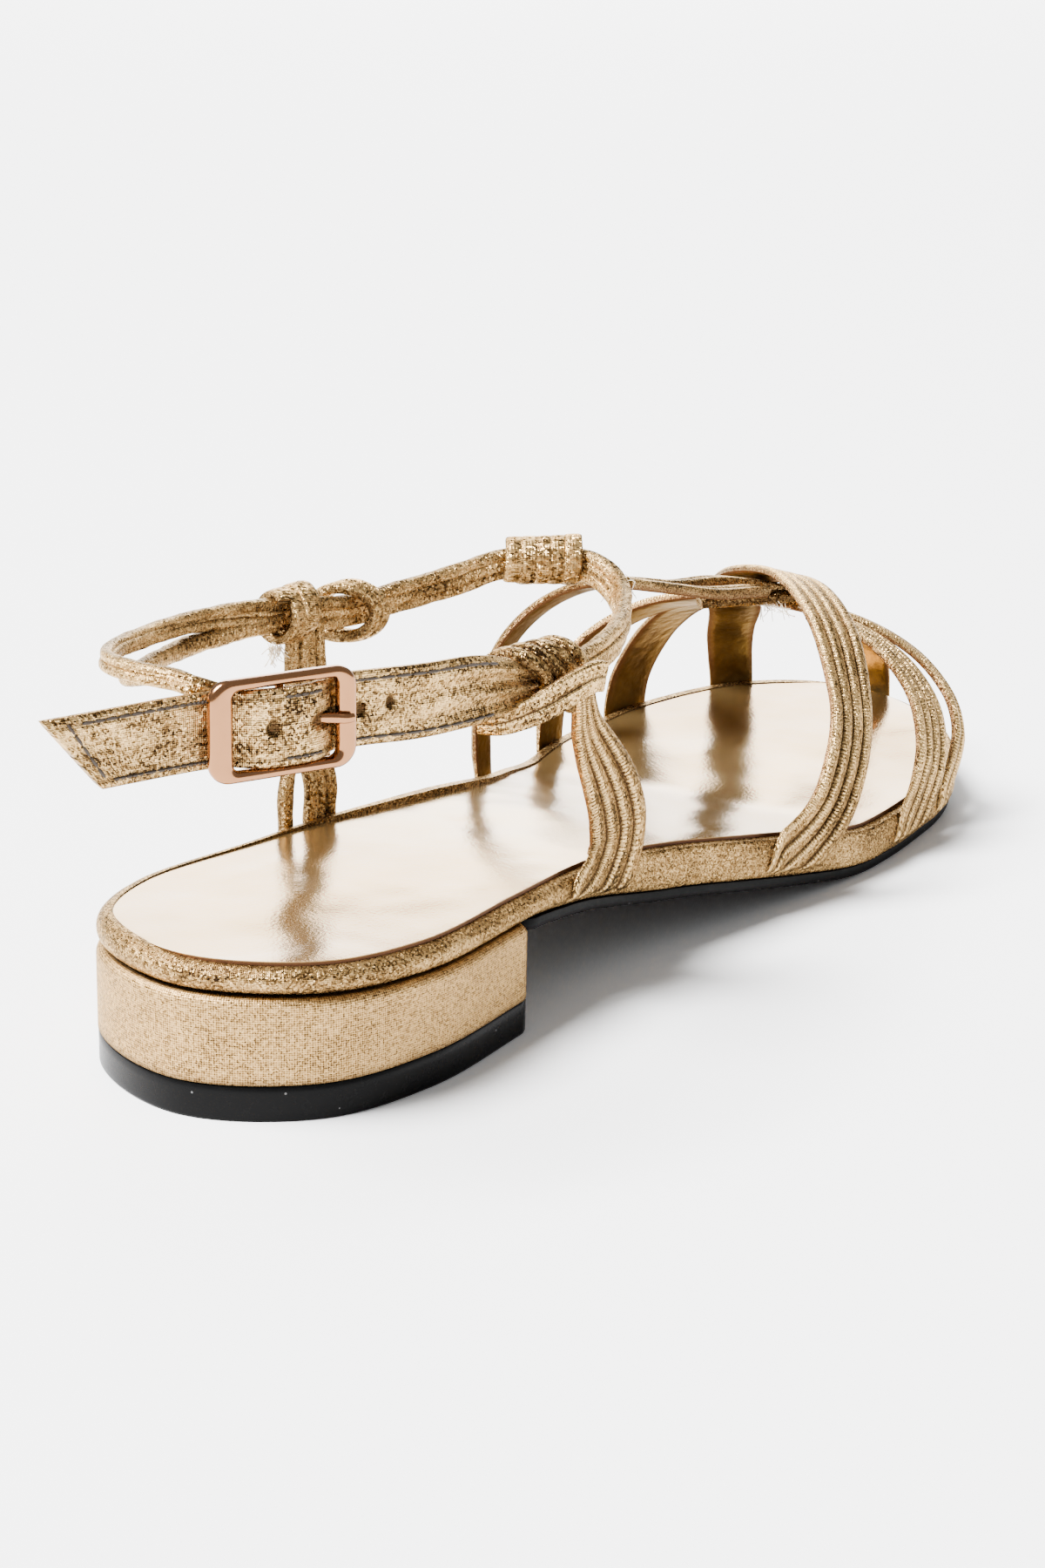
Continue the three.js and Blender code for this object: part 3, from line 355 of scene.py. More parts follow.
def vectorCalc(tree, operation, a, b=(0, 0, 0), c=(0, 0, 0), output=0):
    # one sum of vectors
    node = addNode(tree, "VectorMath", {0: a, 1: b, 2: c}, operation=operation)
    return node.outputs[output]


def noiseOf(tree, vector, scale, detail=2.0, rough=0.5):
    # soft noise over places times the scale of each axis
    place = vectorCalc(tree, "MULTIPLY", vector, scale)
    inputs = {"Vector": place, "Scale": 1.0, "Detail": detail, "Roughness": rough}
    return addNode(tree, "TexNoise", inputs).outputs[0]


def bumpOf(tree, height, strength, distance, **more):
    # the normal tilted by the slope of a height
    inputs = {"Height": height, "Strength": strength, "Distance": distance, **more}
    return addNode(tree, "Bump", inputs).outputs[0]


def rampOf(tree, value, stops):
    # a colour between the stops on both sides of a value
    ramp = addNode(tree, "ValToRGB", {0: value})
    elements = ramp.color_ramp.elements
    while len(elements) < len(stops):
        elements.new(0.5)
    for element, (place, color) in zip(elements, stops):
        element.position = place
        element.color = (*color, 1)
    return ramp.outputs[0]


def mixOf(tree, factor, a, b):
    # a where the factor is 0, b where it is 1
    node = addNode(tree, "Mix", {0: factor}, data_type="RGBA")
    for socket, value in ((node.inputs[6], a), (node.inputs[7], b)):
        if isinstance(value, bpy.types.NodeSocket):
            tree.links.new(value, socket)
        else:
            socket.default_value = (*value, 1)
    return node.outputs[2]


def markOf(tree, name):
    # a mark stored on the mesh's points
    return addNode(tree, "Attribute", attribute_name=name).outputs["Fac"]


def goldCloth(name, look):
    # woven metal cloth: a weave of two crossed sines, specks that each face their own way, streaks
    # along the piece that also paint streaks of highlight, worn patches, a painted sheen and painted
    # glints add up to a value, and a ramp makes it a colour; painted highlight runs on the beads and
    # painted shade fills the grooves
    material, tree, shader = newMaterial(name, look["metallic"])
    shader.inputs["Specular Tint"].default_value = (*look["edgeTint"], 1)
    uv = addNode(tree, "UVMap", uv_map="Cloth").outputs[0]
    k = 2 * math.pi / look["weavePitch"] / math.sqrt(2)
    waves = [calc(tree, "SINE", vectorCalc(tree, "DOT_PRODUCT", uv, way, output="Value"))
             for way in ((k, k, 0), (k, -k, 0))]
    weave = calc(tree, "MULTIPLY", *waves)
    speck = addNode(tree, "TexVoronoi", {"Vector": uv, "Scale": 1 / look["speckSize"]},
                    voronoi_dimensions="2D").outputs["Color"]
    facing = vectorCalc(tree, "SUBTRACT", speck, (0.5, 0.5, 0.5))
    split = addNode(tree, "SeparateColor", {0: speck})
    chance = split.outputs[0]
    # painted glints: the few specks past sparkFrom are brightened outright, as if catching a lamp
    spark = calc(tree, "GREATER_THAN", split.outputs[1], look["sparkFrom"])
    # the streaks' colour share paints streaks of highlight along the piece; they also bump the normal
    # below
    streak = noiseOf(tree, uv, (0.07, 1.1, 1), 3.0)
    patch = noiseOf(tree, uv, (0.11, 0.16, 1), 3.0, 0.6)
    # painted sheen: slow waves of light and dark along the piece that stand in for reflections
    sheen = noiseOf(tree, uv, (0.05, 0.1, 1), 1.0)
    value = calc(tree, "MULTIPLY_ADD", weave, look["weaveShade"], look["brightness"])
    for noise, shade in ((sheen, "sheenShade"), (streak, "streakShade"), (patch, "patchShade"),
                         (chance, "speckShade")):
        value = calc(tree, "MULTIPLY_ADD", calc(tree, "SUBTRACT", noise, 0.5), look[shade], value)
    value = calc(tree, "MULTIPLY_ADD", spark, look["sparkShade"], value)
    # painted highlight: a wave along the beaded rib edges brightens them; the same wave also bumps them
    # below
    along = addNode(tree, "SeparateXYZ", {0: uv}).outputs[0]
    bead = calc(tree, "SINE", calc(tree, "MULTIPLY", along, 2 * math.pi / look["beadPitch"]))
    bead = calc(tree, "MULTIPLY", calc(tree, "MULTIPLY_ADD", bead, 0.4, 0.45), markOf(tree, "bead"))
    value = calc(tree, "MULTIPLY_ADD", bead, look["beadHighlight"], value)
    color = rampOf(tree, value, look["colors"])
    # painted shade: the groove mark darkens rib valleys, strand sides, holes and joins between parts
    groove = markOf(tree, "groove")
    color = mixOf(tree, calc(tree, "MULTIPLY", groove, look["grooveShade"]), color, look["grooveShadeColor"])
    edge = calc(tree, "MULTIPLY", markOf(tree, "edge"), calc(tree, "MULTIPLY_ADD", patch, 0.8, 0.5))
    color = mixOf(tree, edge, color, look["edgeColor"])
    tree.links.new(color, shader.inputs["Base Color"])
    rough = calc(tree, "MULTIPLY_ADD", chance, look["roughSpread"], look["roughness"])
    tree.links.new(rough, shader.inputs["Roughness"])
    height = calc(tree, "MULTIPLY_ADD", streak, 0.5, calc(tree, "MULTIPLY", weave, 0.25))
    height = calc(tree, "ADD", height, bead)
    bump = bumpOf(tree, height, look["bump"], 0.0003)
    tilted = vectorCalc(tree, "MULTIPLY_ADD", facing, (look["glitter"],) * 3, bump)
    tree.links.new(vectorCalc(tree, "NORMALIZE", tilted), shader.inputs["Normal"])
    return material


# sheenShade, sparkShade and beadHighlight set the painted sheen, glints and bead highlights;
# grooveShade and grooveShadeColor set the painted shade in grooves
clothLook = dict(
    metallic=0.95, roughness=0.2, roughSpread=0.2, bump=0.5, glitter=0.7, brightness=0.45,
    weavePitch=0.42, weaveShade=0.1, speckSize=0.3, speckShade=0.5, sparkFrom=0.86, sparkShade=0.22,
    streakShade=0.7, patchShade=0.5, sheenShade=0.7, beadPitch=0.7, beadHighlight=1.5, grooveShade=0.92,
    grooveShadeColor=(0.035, 0.016, 0.006), edgeColor=(0.13, 0.06, 0.026), edgeTint=(0.92, 0.8, 0.62),
    colors=[(0.14, (0.014, 0.007, 0.003)), (0.3, (0.1, 0.052, 0.016)),
            (0.5, (0.27, 0.155, 0.052)), (0.82, (0.8, 0.52, 0.21))])
strapCloth = goldCloth("strapCloth", clothLook)
cordCloth = goldCloth("cordCloth", {
    **clothLook, "speckSize": 0.33, "glitter": 0.9, "brightness": 0.56, "sparkShade": 0.4})
# a darker copy of the strap cloth: painted shade for the outer upright's fan, which lies in shadow
fanClothShaded = goldCloth("fanClothShaded", {**clothLook, "brightness": 0.35, "sparkShade": 0.4})
bandCloth = goldCloth("bandCloth", {
    **clothLook, "streakShade": 0.3, "sheenShade": 0.35, "glitter": 0.6})
lameCloth = goldCloth("lameCloth", {
    **clothLook, "streakShade": 0.8, "patchShade": 1.25, "sheenShade": 0.3, "brightness": 0.52,
    "weavePitch": 0.5, "weaveShade": 0.2, "speckSize": 0.36, "speckShade": 0.75,
    "sparkShade": 0.35})
heelCloth = goldCloth("heelCloth", {
    **clothLook, "metallic": 0.75, "weaveShade": 0.26, "weavePitch": 0.56, "streakShade": 0.1,
    "patchShade": 0.22, "sheenShade": 0.1, "glitter": 0.4, "roughness": 0.34, "brightness": 0.5,
    "sparkShade": 0.14,
    "colors": [(0.16, (0.03, 0.015, 0.005)), (0.32, (0.2, 0.11, 0.032)),
               (0.5, (0.4, 0.235, 0.08)), (0.8, (0.68, 0.43, 0.17))]})


def leather(name, look):
    # smooth metal-coated leather: fine grain, soft dents and a little colour drift
    material, tree, shader = newMaterial(name, look["metallic"])
    shader.inputs["Specular Tint"].default_value = (*look["edgeTint"], 1)
    place = addNode(tree, "TexCoord").outputs["Object"]
    drift = noiseOf(tree, place, (look["driftScale"],) * 3, 3.0)
    grain = noiseOf(tree, place, (look["grainScale"],) * 3, 3.0, 0.6)
    color = rampOf(tree, drift, [(0.3, look["dark"]), (0.7, look["light"])])
    color = mixOf(tree, markOf(tree, "edge"), color, look["edgeColor"])
    tree.links.new(color, shader.inputs["Base Color"])
    rough = calc(tree, "MULTIPLY_ADD", drift, look["roughSpread"], look["roughness"])
    rough = calc(tree, "ADD", rough, calc(tree, "MULTIPLY", markOf(tree, "edge"), 0.4))
    tree.links.new(rough, shader.inputs["Roughness"])
    dents = bumpOf(tree, drift, look["dents"], 0.002)
    fine = bumpOf(tree, grain, look["grain"], 0.0002, Normal=dents)
    tree.links.new(fine, shader.inputs["Normal"])
    return material


footbedLeather = leather("footbedLeather", dict(
    metallic=0.92, roughness=0.1, roughSpread=0.12, driftScale=20, dents=0.75, grainScale=1500,
    grain=0.22, dark=(0.36, 0.22, 0.075), light=(0.52, 0.34, 0.135), edgeColor=(0.1, 0.045, 0.02),
    edgeTint=(1, 1, 1)))
liningLeather = leather("liningLeather", dict(
    metallic=0.8, roughness=0.24, roughSpread=0.2, driftScale=120, dents=0.5, grainScale=1800,
    grain=0.3, dark=(0.07, 0.04, 0.01), light=(0.22, 0.135, 0.042), edgeColor=(0.13, 0.06, 0.026),
    edgeTint=(0.75, 0.54, 0.28)))


def gloss(name, look):
    # glossy surface with fine scratches: stretched noise in the roughness, and pale dust specks
    material, tree, shader = newMaterial(name, look["metallic"])
    place = addNode(tree, "TexCoord").outputs["Object"]
    scratch = noiseOf(tree, place, look["scratchScale"], 4.0, 0.7)
    dust = addNode(tree, "TexVoronoi", {"Vector": place, "Scale": look["dustScale"]})
    near = calc(tree, "LESS_THAN", dust.outputs["Distance"], look["dustSize"])
    speck = calc(tree, "MULTIPLY", near, look["dust"])
    color = mixOf(tree, speck, look["color"], look["dustColor"])
    color = mixOf(tree, calc(tree, "MULTIPLY", scratch, look["tone"]), color, look["toneColor"])
    tree.links.new(color, shader.inputs["Base Color"])
    rough = calc(tree, "MULTIPLY_ADD", scratch, look["roughSpread"], look["roughness"])
    tree.links.new(rough, shader.inputs["Roughness"])
    shader.inputs["Specular IOR Level"].default_value = look["shine"]
    tree.links.new(bumpOf(tree, scratch, look["bump"], 0.0002), shader.inputs["Normal"])
    return material


heelTopGloss = gloss("heelTopGloss", dict(
    metallic=0.0, roughness=0.16, roughSpread=0.2, bump=0.06, shine=0.05, scratchScale=(500, 500, 500),
    dustScale=240, dustSize=0.05, dust=0.4, dustColor=(0.3, 0.3, 0.3), color=(0.003, 0.003, 0.003),
    tone=0.2, toneColor=(0.008, 0.008, 0.009)))
outsoleRubber = gloss("outsoleRubber", dict(
    metallic=0.0, roughness=0.35, roughSpread=0.35, bump=0.3, shine=0.04, scratchScale=(700, 700, 400),
    dustScale=300, dustSize=0.05, dust=0.4, dustColor=(0.3, 0.3, 0.3), color=(0.004, 0.004, 0.004),
    tone=0.4, toneColor=(0.014, 0.014, 0.014)))
roseMetal = gloss("roseMetal", dict(
    metallic=1.0, roughness=0.08, roughSpread=0.16, bump=0.04, shine=0.5, scratchScale=(400, 400, 400),
    dustScale=400, dustSize=0.03, dust=0.3, dustColor=(0.2, 0.08, 0.04), color=(0.35, 0.165, 0.075),
    tone=0.3, toneColor=(0.22, 0.095, 0.04)))


def twine(name, look):
    # matt thread: fine noise through the object's own place shades its fibres and roughens them
    material, tree, shader = newMaterial(name, 0.0)
    place = addNode(tree, "TexCoord").outputs["Object"]
    fibre = noiseOf(tree, place, (look["scale"],) * 3, 3.0, 0.7)
    color = rampOf(tree, fibre, [(0.3, look["dark"]), (0.7, look["light"])])
    tree.links.new(color, shader.inputs["Base Color"])
    rough = calc(tree, "MULTIPLY_ADD", fibre, 0.25, look["roughness"])
    tree.links.new(rough, shader.inputs["Roughness"])
    tree.links.new(bumpOf(tree, fibre, 0.5, 0.0001), shader.inputs["Normal"])
    return material


threadBrown = twine("threadBrown", dict(
    scale=4200, roughness=0.55, dark=(0.012, 0.007, 0.004), light=(0.045, 0.026, 0.013)))
frayCotton = twine("frayCotton", dict(
    scale=2600, roughness=0.7, dark=(0.55, 0.42, 0.27), light=(0.85, 0.74, 0.58)))
print("materials made")

# sole pieces: a profile carried round an outline


def ringSurface(loop, offsets, heights):
    # the loop's points moved out by each offset along their plan normals, at each height
    ahead = unit(np.roll(loop, -1, 0) - np.roll(loop, 1, 0))
    normal = np.stack([-ahead[:, 1], ahead[:, 0]], -1)
    flat = loop[:, None, :] + normal[:, None, :] * offsets[..., None]
    return np.concatenate([flat, heights(flat[..., 0])[..., None]], -1)


def arcOf(points):
    # length along a line up to each of its points
    step = np.linalg.norm(np.diff(points, axis=0), axis=-1)
    return np.concatenate([[0], np.cumsum(step)])


def acrossPart(ring, count, height=None, up=True, short=0):
    # a ring's lid: straight lines between the points at the same share of both sides, or with
    # height given, that surface over their plan. short leaves out its last rows.
    i = np.arange(len(ring) // 2 + 1 - short)
    t = np.linspace(0, 1, count)[None, :, None]
    grid = ring[i][:, None] * (1 - t) + ring[-i % len(ring)][:, None] * t
    if height is not None:
        grid[..., 2] = height(grid)
    part = gridPart(grid, grid[..., :2], ring=False, caps=False)
    a, b, c = (part["verts"][part["quads"][:, k]] for k in (0, 1, 2))
    return turnFaces(part, (np.cross(b - a, c - a)[:, 2].sum() > 0) != up)


ringPoints = 520
outlineTurns = np.arange(ringPoints) / ringPoints
footLoop = outlineAt(outlineTurns)


def cutLoop(keep, cutX, count=420, corner=1.4):
    # the outline on one side of a straight cut across the sole, evenly spaced, its corners eased
    p = outlineAt(np.arange(4000) / 4000)
    start = 0 if keep < 0 else 2000
    p = np.roll(p, -start, 0)
    inside = (p[:, 0] - cutX) * keep > 0
    p = p[inside]
    p = np.vstack([p, p[:1]])
    arc = arcOf(p)
    even = np.linspace(0, arc[-1], count * 4, endpoint=False)
    loop = np.stack([np.interp(even, arc, p[:, k]) for k in (0, 1)], -1)
    reach = max(int(corner / (arc[-1] / len(loop))), 1)
    kernel = np.hanning(2 * reach + 3)[1:-1]
    padded = np.vstack([loop[-reach:], loop, loop[:reach]])
    loop = np.stack([np.convolve(padded[:, k], kernel / kernel.sum(), "valid") for k in (0, 1)], -1)
    return loop[::4]


def sideWall(loop, offsets, heights, marks=None):
    # a profile carried round the loop: its grid, and its wall with the faces looking away from
    # the loop's middle. The texture runs by the length round the loop and the length down.
    shape = (len(loop), np.shape(offsets)[-1])
    grid = ringSurface(loop, np.broadcast_to(offsets, shape), heights)
    down = np.cumsum(np.linalg.norm(np.diff(grid, axis=1), axis=-1), axis=1)
    down = np.hstack([np.zeros((len(loop), 1)), down])
    uv = uvOf(arcOf(np.vstack([loop, loop[:1]])), np.vstack([down, down[:1]]))
    part = gridPart(grid, uv, marks, ring=False, loop=True, caps=False)
    a, b, c = (part["verts"][part["quads"][:, k]] for k in (0, 1, 2))
    away = (a - part["verts"].mean(0))[:, :2]
    return grid, turnFaces(part, np.sum(np.cross(b - a, c - a)[:, :2] * away) < 0)


# footbed: a thin leather cover with soft dents, a rounded edge and a raw brown cut
footbed = dict(thickness=1.5, dent=0.52, crown=0.35, crownShare=0.6, creaseX=62, creaseDepth=0.12)


def footbedHeight(flat):
    # the footbed, plus three slow waves and one crease, both fading towards the crowned edge
    x, y = flat[..., 0], flat[..., 1]
    dents = wobble(x * 0.045, y * 0.06) * 0.6 + wobble(x * 0.11, -y * 0.08) * 0.25
    dents = dents + wobble(y * 0.12, x * 0.02) * 0.3
    crease = np.exp(-((x - footbed["creaseX"] - 0.5 * y) / 2.2) ** 2) * np.exp(-((y - 8) / 15) ** 2)
    t = np.linspace(0, 1, flat.shape[1])[None, :]
    away = np.minimum(1, 6 * t * (1 - t))
    worn = (footbed["dent"] * dents - footbed["creaseDepth"] * crease) * away
    return footbedAt(x) + worn + footbed["crown"] * (away - 1) * footbed["crownShare"]


edgeDrops = [footbed["crown"] * footbed["crownShare"], 0.45, 0.8, 1.2, footbed["thickness"]]
edgeGrid, footbedEdge = sideWall(footLoop, [0, -0.02, 0, 0, 0], lambda x: footbedAt(x) - edgeDrops,
                                 {"edge": np.array([0.3, 1, 1, 1, 1])})
footbedTop = acrossPart(edgeGrid[:, 0], 72, footbedHeight)
footbedUnder = acrossPart(edgeGrid[:, -1], 12, up=False)
makePiece("footbedCover", [footbedTop, footbedEdge, footbedUnder], [footbedLeather],
          ["insole"], 60, True)

# band: cloth rolled over the board's rounded edge and tucked in below, higher under the arch
band = dict(rim=0.5, rimLean=0.5, archRise=1.25, archX=82, archReach=42, rollFront=1.5, rollHeel=1.3,
            waver=0.08)
rollAngle = np.radians(np.linspace(92, -78, 22))
archBump = np.exp(-((footLoop[:, :1] - band["archX"]) / band["archReach"]) ** 2)


def bandHeights(x):
    # three rows under the footbed, then the roll's share of the depth from rim to underside
    inside = np.tanh(footLoop[:, 1:] / 8)
    arch = archBump * (inside > 0) * inside
    top = footbedAt(x) - band["rim"] + band["rimLean"] * inside + band["archRise"] * arch
    depth = top - bandBottomAt(x)
    share = np.hstack([np.tile([0.34, 0.0, 0.0], (len(x), 1)), rollShare])
    z = top - depth * share
    z[..., 0] = footbedAt(x[..., 0]) - footbed["thickness"] - 0.5
    return z


# the roll: a superellipse from the rim over the side to the band's underside, round at the heel
# and boxier in front
heelShareOfLoop = np.clip((78 - footLoop[:, :1]) / 45, 0, 1)
rollPower = 0.5 + 0.42 * heelShareOfLoop
rollShare = 0.5 - 0.5 * np.sign(np.sin(rollAngle)) * np.abs(np.sin(rollAngle)) ** rollPower
rollDepth = 1 - np.abs(np.cos(rollAngle)) ** rollPower
rollReach = last["overhang"] - (band["rollFront"] + band["rollHeel"] * heelShareOfLoop) * rollDepth
bandOffsets = np.hstack([np.tile([-0.3, -0.3, -0.1], (ringPoints, 1)), rollReach])
rowShare = np.linspace(0, 1, bandOffsets.shape[1])[None]
waver = wobble(outlineTurns[:, None] * 190, np.arange(bandOffsets.shape[1])[None] * 0.35)
archShare = archBump * (footLoop[:, 1:] > 4)
# painted shade under the footbed's rim and where the roll tucks under, weaker under the arch
bandShade = np.concatenate([[1, 0.9, 0.25], np.zeros(20), [0.5, 1]])[None] * (1 - 0.85 * archShare)
bandGrid, bandWall = sideWall(footLoop, bandOffsets + band["waver"] * waver * rowShare, bandHeights,
                              {"groove": bandShade})
bandSeat = acrossPart(bandGrid[:, 0], 10)
bandUnder = acrossPart(bandGrid[:, -1], 10, up=False)
makePiece("wrappedBand", [bandWall, bandSeat, bandUnder], [bandCloth], ["midsole"],
          70, True)

# heel block: cloth pulled over a rounded top edge
heel = dict(tip=6.2, edge=1.6, overhang=2.75, inset=2.6, wallRows=16, edgeRows=8)
breastX = last["heelLength"] - last["seat"]
heelLoop = cutLoop(-1, breastX - heel["inset"])
heelAngle = np.radians(np.linspace(0, 90, heel["edgeRows"]))
heelOffsets = np.concatenate([np.full(heel["wallRows"], heel["overhang"]),
                              heel["overhang"] - heel["edge"] * (1 - np.cos(heelAngle)), [-1.5]])


def heelHeights(x):
    # even rows up the wall, a quarter circle over the edge and one row on top
    rows = heel["wallRows"]
    low = heel["tip"] + last["clearance"]
    z = bandBottomAt(x) - last["clearance"]
    z[..., :rows] = low + (z[..., :rows] - heel["edge"] - low) * np.linspace(0, 1, rows)
    z[..., rows:-1] -= heel["edge"] * (1 - np.sin(heelAngle))
    return z


# painted shade at the heel's foot beside the top piece and under the band over its top
heelShade = np.concatenate([[0.8, 0.2], np.zeros(20), [0.4, 0.8, 1]])
heelWall = sideWall(heelLoop, heelOffsets, heelHeights, {"groove": heelShade})[1]
makePiece("heelBlockCover", [heelWall], [heelCloth], ["heel_block"], 60, True)

# heel top piece: glossy black, its lower edge eased
heelTop = dict(inset=0.1, edge=0.5, underReach=-0.6, topInset=0.25)
topAngle = np.radians(np.linspace(-90, 0, 6))
topReach = heel["overhang"] - heelTop["inset"]
topOffsets = np.concatenate([[heelTop["underReach"]],
                             topReach - heelTop["edge"] * (1 - np.cos(topAngle)),
                             [topReach] * 4, [heel["overhang"] - heelTop["topInset"]]])
topHeights = np.concatenate([[0], heelTop["edge"] * (1 + np.sin(topAngle)),
                             np.linspace(1.4, heel["tip"] - 0.2, 4), [heel["tip"]]])
topWall = sideWall(heelLoop, topOffsets, lambda x: topHeights + 0 * x)[1]
makePiece("heelTopPiece", [topWall], [heelTopGloss], ["heel_tip"], 40, True)

# outsole: thin black sheet from the heel breast to the toe
sheet = dict(reach=1.6, points=520, corner=0.8)
soleLoop = cutLoop(1, breastX + last["clearance"] + sheet["reach"], sheet["points"], sheet["corner"])
sheetOffsets = [0.2, 1.0, 1.45, sheet["reach"], sheet["reach"], 1.5, 0.9]
sheetDepth = last["outsole"] * (1 - np.array([0, 0.02, 0.16, 0.4, 0.85, 0.98, 1]))
sheetGrid, sheetWall = sideWall(soleLoop, sheetOffsets,
                                lambda x: bandBottomAt(x) - last["clearance"] - sheetDepth)
breastPoints = int(np.sum(soleLoop[:, 0] < soleLoop[:, 0].min() + 1.5)) // 2 + 1
sheetLid = acrossPart(sheetGrid[:, -1], 12, short=breastPoints)
sheetUnder = acrossPart(sheetGrid[:, 0], 12, up=False, short=breastPoints)
makePiece("thinOutsole", [sheetWall, sheetLid, sheetUnder], [outsoleRubber],
          ["outsole"], 60, True)
print("sole made")

# straps: a piped profile carried along a path


def strapPath(points, outs, wide, width, t):
    # places, directions and widths along a smooth path, read at each t from 0 to 1
    t = np.asarray(t, float)
    point = curveAt(points, t)
    tangent = unit(curveAt(points, np.minimum(t + 1e-4, 1)) - curveAt(points, np.maximum(t - 1e-4, 0)))
    facing = curveAt(outs, t, uniform=True)
    side = unit(np.cross(tangent, facing))
    out = unit(np.cross(side, tangent))
    widths = width * curveAt(np.asarray(wide, float)[:, None], t, uniform=True)[..., 0]
    return dict(point=point, tangent=tangent, side=side, out=out, width=widths, arc=arcOf(point))


def lastPath(rows, width, thickness, t):
    # a path over the last from rows of length share, degrees round, lift and width share
    rows = np.asarray(rows, float)
    point, out = onLast(rows[:, 0], rows[:, 1], rows[:, 2] * thickness)
    return strapPath(point, out, rows[:, 3], width, t)


def pipedProfile(ribs, valley, lean, perRib=12, liningSteps=8):
    # closed section in shares of width and thickness: ribs with flat tops and round edges, each
    # sloping down under the next one's beaded edge, then the rolled edge and the smooth lining
    s = (np.arange(perRib) + 0.5) / perRib
    top = valley + (1 - valley) * (1 - np.abs(2 * s - 1) ** 2.6) ** 0.55 * (1 - lean * s)
    across = ((np.arange(ribs)[:, None] + s[None]) / ribs - 0.5).ravel()
    high = np.tile(top, ribs)
    # painted shade in the valleys between the ribs, fainter at the strap's two outer edges
    valleyShade = np.tile(np.clip((np.abs(2 * s - 1) - 0.68) / 0.24, 0, 1), ribs)
    valleyShade[:2] *= 0.2
    valleyShade[-2:] *= 0.2
    inner = np.linspace(0.47, -0.47, liningSteps)
    w = np.concatenate([across, [0.5, 0.5], inner, [-0.5, -0.5]])
    h = np.concatenate([high, [0.45, 0.14], 0.05 * np.abs(inner / 0.47) ** 4, [0.14, 0.45]])
    groove = np.concatenate([valleyShade, np.zeros(liningSteps + 4)])
    # the bead mark near each rib's high edge: bumped there and given a painted highlight
    bead = np.concatenate([np.tile(np.exp(-((s - 0.17) / 0.09) ** 2), ribs), np.zeros(liningSteps + 4)])
    roll = np.concatenate([np.zeros(len(across)), [0.5, 1], (np.abs(inner) > 0.4) * 1.0, [1, 0.5]])
    lined = np.concatenate([np.zeros(len(across) + 1, int), np.ones(liningSteps + 1, int), [0, 0]])
    return dict(w=w, h=h, groove=groove, bead=bead, edge=roll, lined=lined)


lasting = dict(below=3, above=6, sink=0.45, thin=0.55, turnLength=8, turnDepth=12, tuckHeight=2.4,
               tuckReach=2.9)


def strapPart(path, profile, thickness, base=0.0, seed=0.0, restless=0.1, floor=True):
    # each section is the profile at its place, its ribs wavering along the strap. Beside the band
    # it is pressed thinner against it, and its end turns in under the band.
    w, h = profile["w"][None], profile["h"][None]
    arc = path["arc"][:, None]
    sway = restless * wobble(arc * 0.13 + seed, w * 9) * (h > 0.4)
    over = path["point"][:, 2] - footbedAt(path["point"][:, 0])
    free = 1.0
    if floor:
        free = np.clip((over + lasting["below"]) / (lasting["below"] + lasting["above"]), 0, 1)[:, None]
    pressed = lasting["thin"] + (1 - lasting["thin"]) * free
    lift = base - lasting["sink"] * (1 - free) + thickness * h * pressed + 0.7 * sway
    reach = w * path["width"][:, None] + 0.5 * restless * wobble(arc * 0.21 + 2 * seed, w * 3)
    grid = path["point"][:, None] + path["side"][:, None] * reach[..., None]
    grid = grid + path["out"][:, None] * lift[..., None]
    if floor:
        bottom = bandBottomAt(grid[..., 0])
        ends = np.clip(1 - np.minimum(arc, arc[-1] - arc) / lasting["turnLength"], 0, 1) ** 2
        grid[..., 2] -= lasting["turnDepth"] * ends * (1 - free)
        tuck = np.clip((bottom - grid[..., 2]) / lasting["tuckHeight"] + 1, 0, 1)
        grid[..., 1] -= np.sign(grid[..., 1]) * lasting["tuckReach"] * tuck ** 2
        grid[..., 2] = np.maximum(grid[..., 2], bottom + 0.1)
    section = np.stack([w[0] * path["width"].mean(), h[0] * thickness], -1)
    uv = uvOf(path["arc"], arcOf(np.vstack([section, section[:1]])) + 17 * seed)
    # groove paints shade in the valleys; bead bumps the beads and paints highlight on them
    marks = {"groove": profile["groove"][None], "bead": profile["bead"][None],
             "edge": profile["edge"][None] * free}
    return gridPart(grid, uv, marks, look=profile["lined"][None])


def tubePart(point, side, out, halfWide, halfHigh, seed=0.0, steps=14, flat=2.6, restless=0.08):
    # superellipse section carried along a line, swelling a little, with painted shade on both sides
    arc = arcOf(point)
    a = np.arange(steps) * 2 * np.pi / steps
    c = np.sign(np.cos(a)) * np.abs(np.cos(a)) ** (2 / flat)
    s = np.sign(np.sin(a)) * np.abs(np.sin(a)) ** (2 / flat)
    swell = 1 + restless * wobble(arc[:, None] * 0.5 + seed, a[None] * 2)
    grid = point[:, None] + side[:, None] * (c * swell * np.asarray(halfWide)[..., None])[..., None]
    grid = grid + out[:, None] * (s * swell * np.asarray(halfHigh)[..., None])[..., None]
    around = np.linspace(0, 2 * np.pi * np.mean((halfWide + halfHigh) / 2), steps + 1)
    # painted shade down both sides, where strands press against their neighbours
    sideShade = np.clip(np.abs(np.cos(a)) - 0.72, 0, 1) / 0.28
    return gridPart(grid, uvOf(arc, around + 13 * seed), {"groove": 0.85 * sideShade[None]})


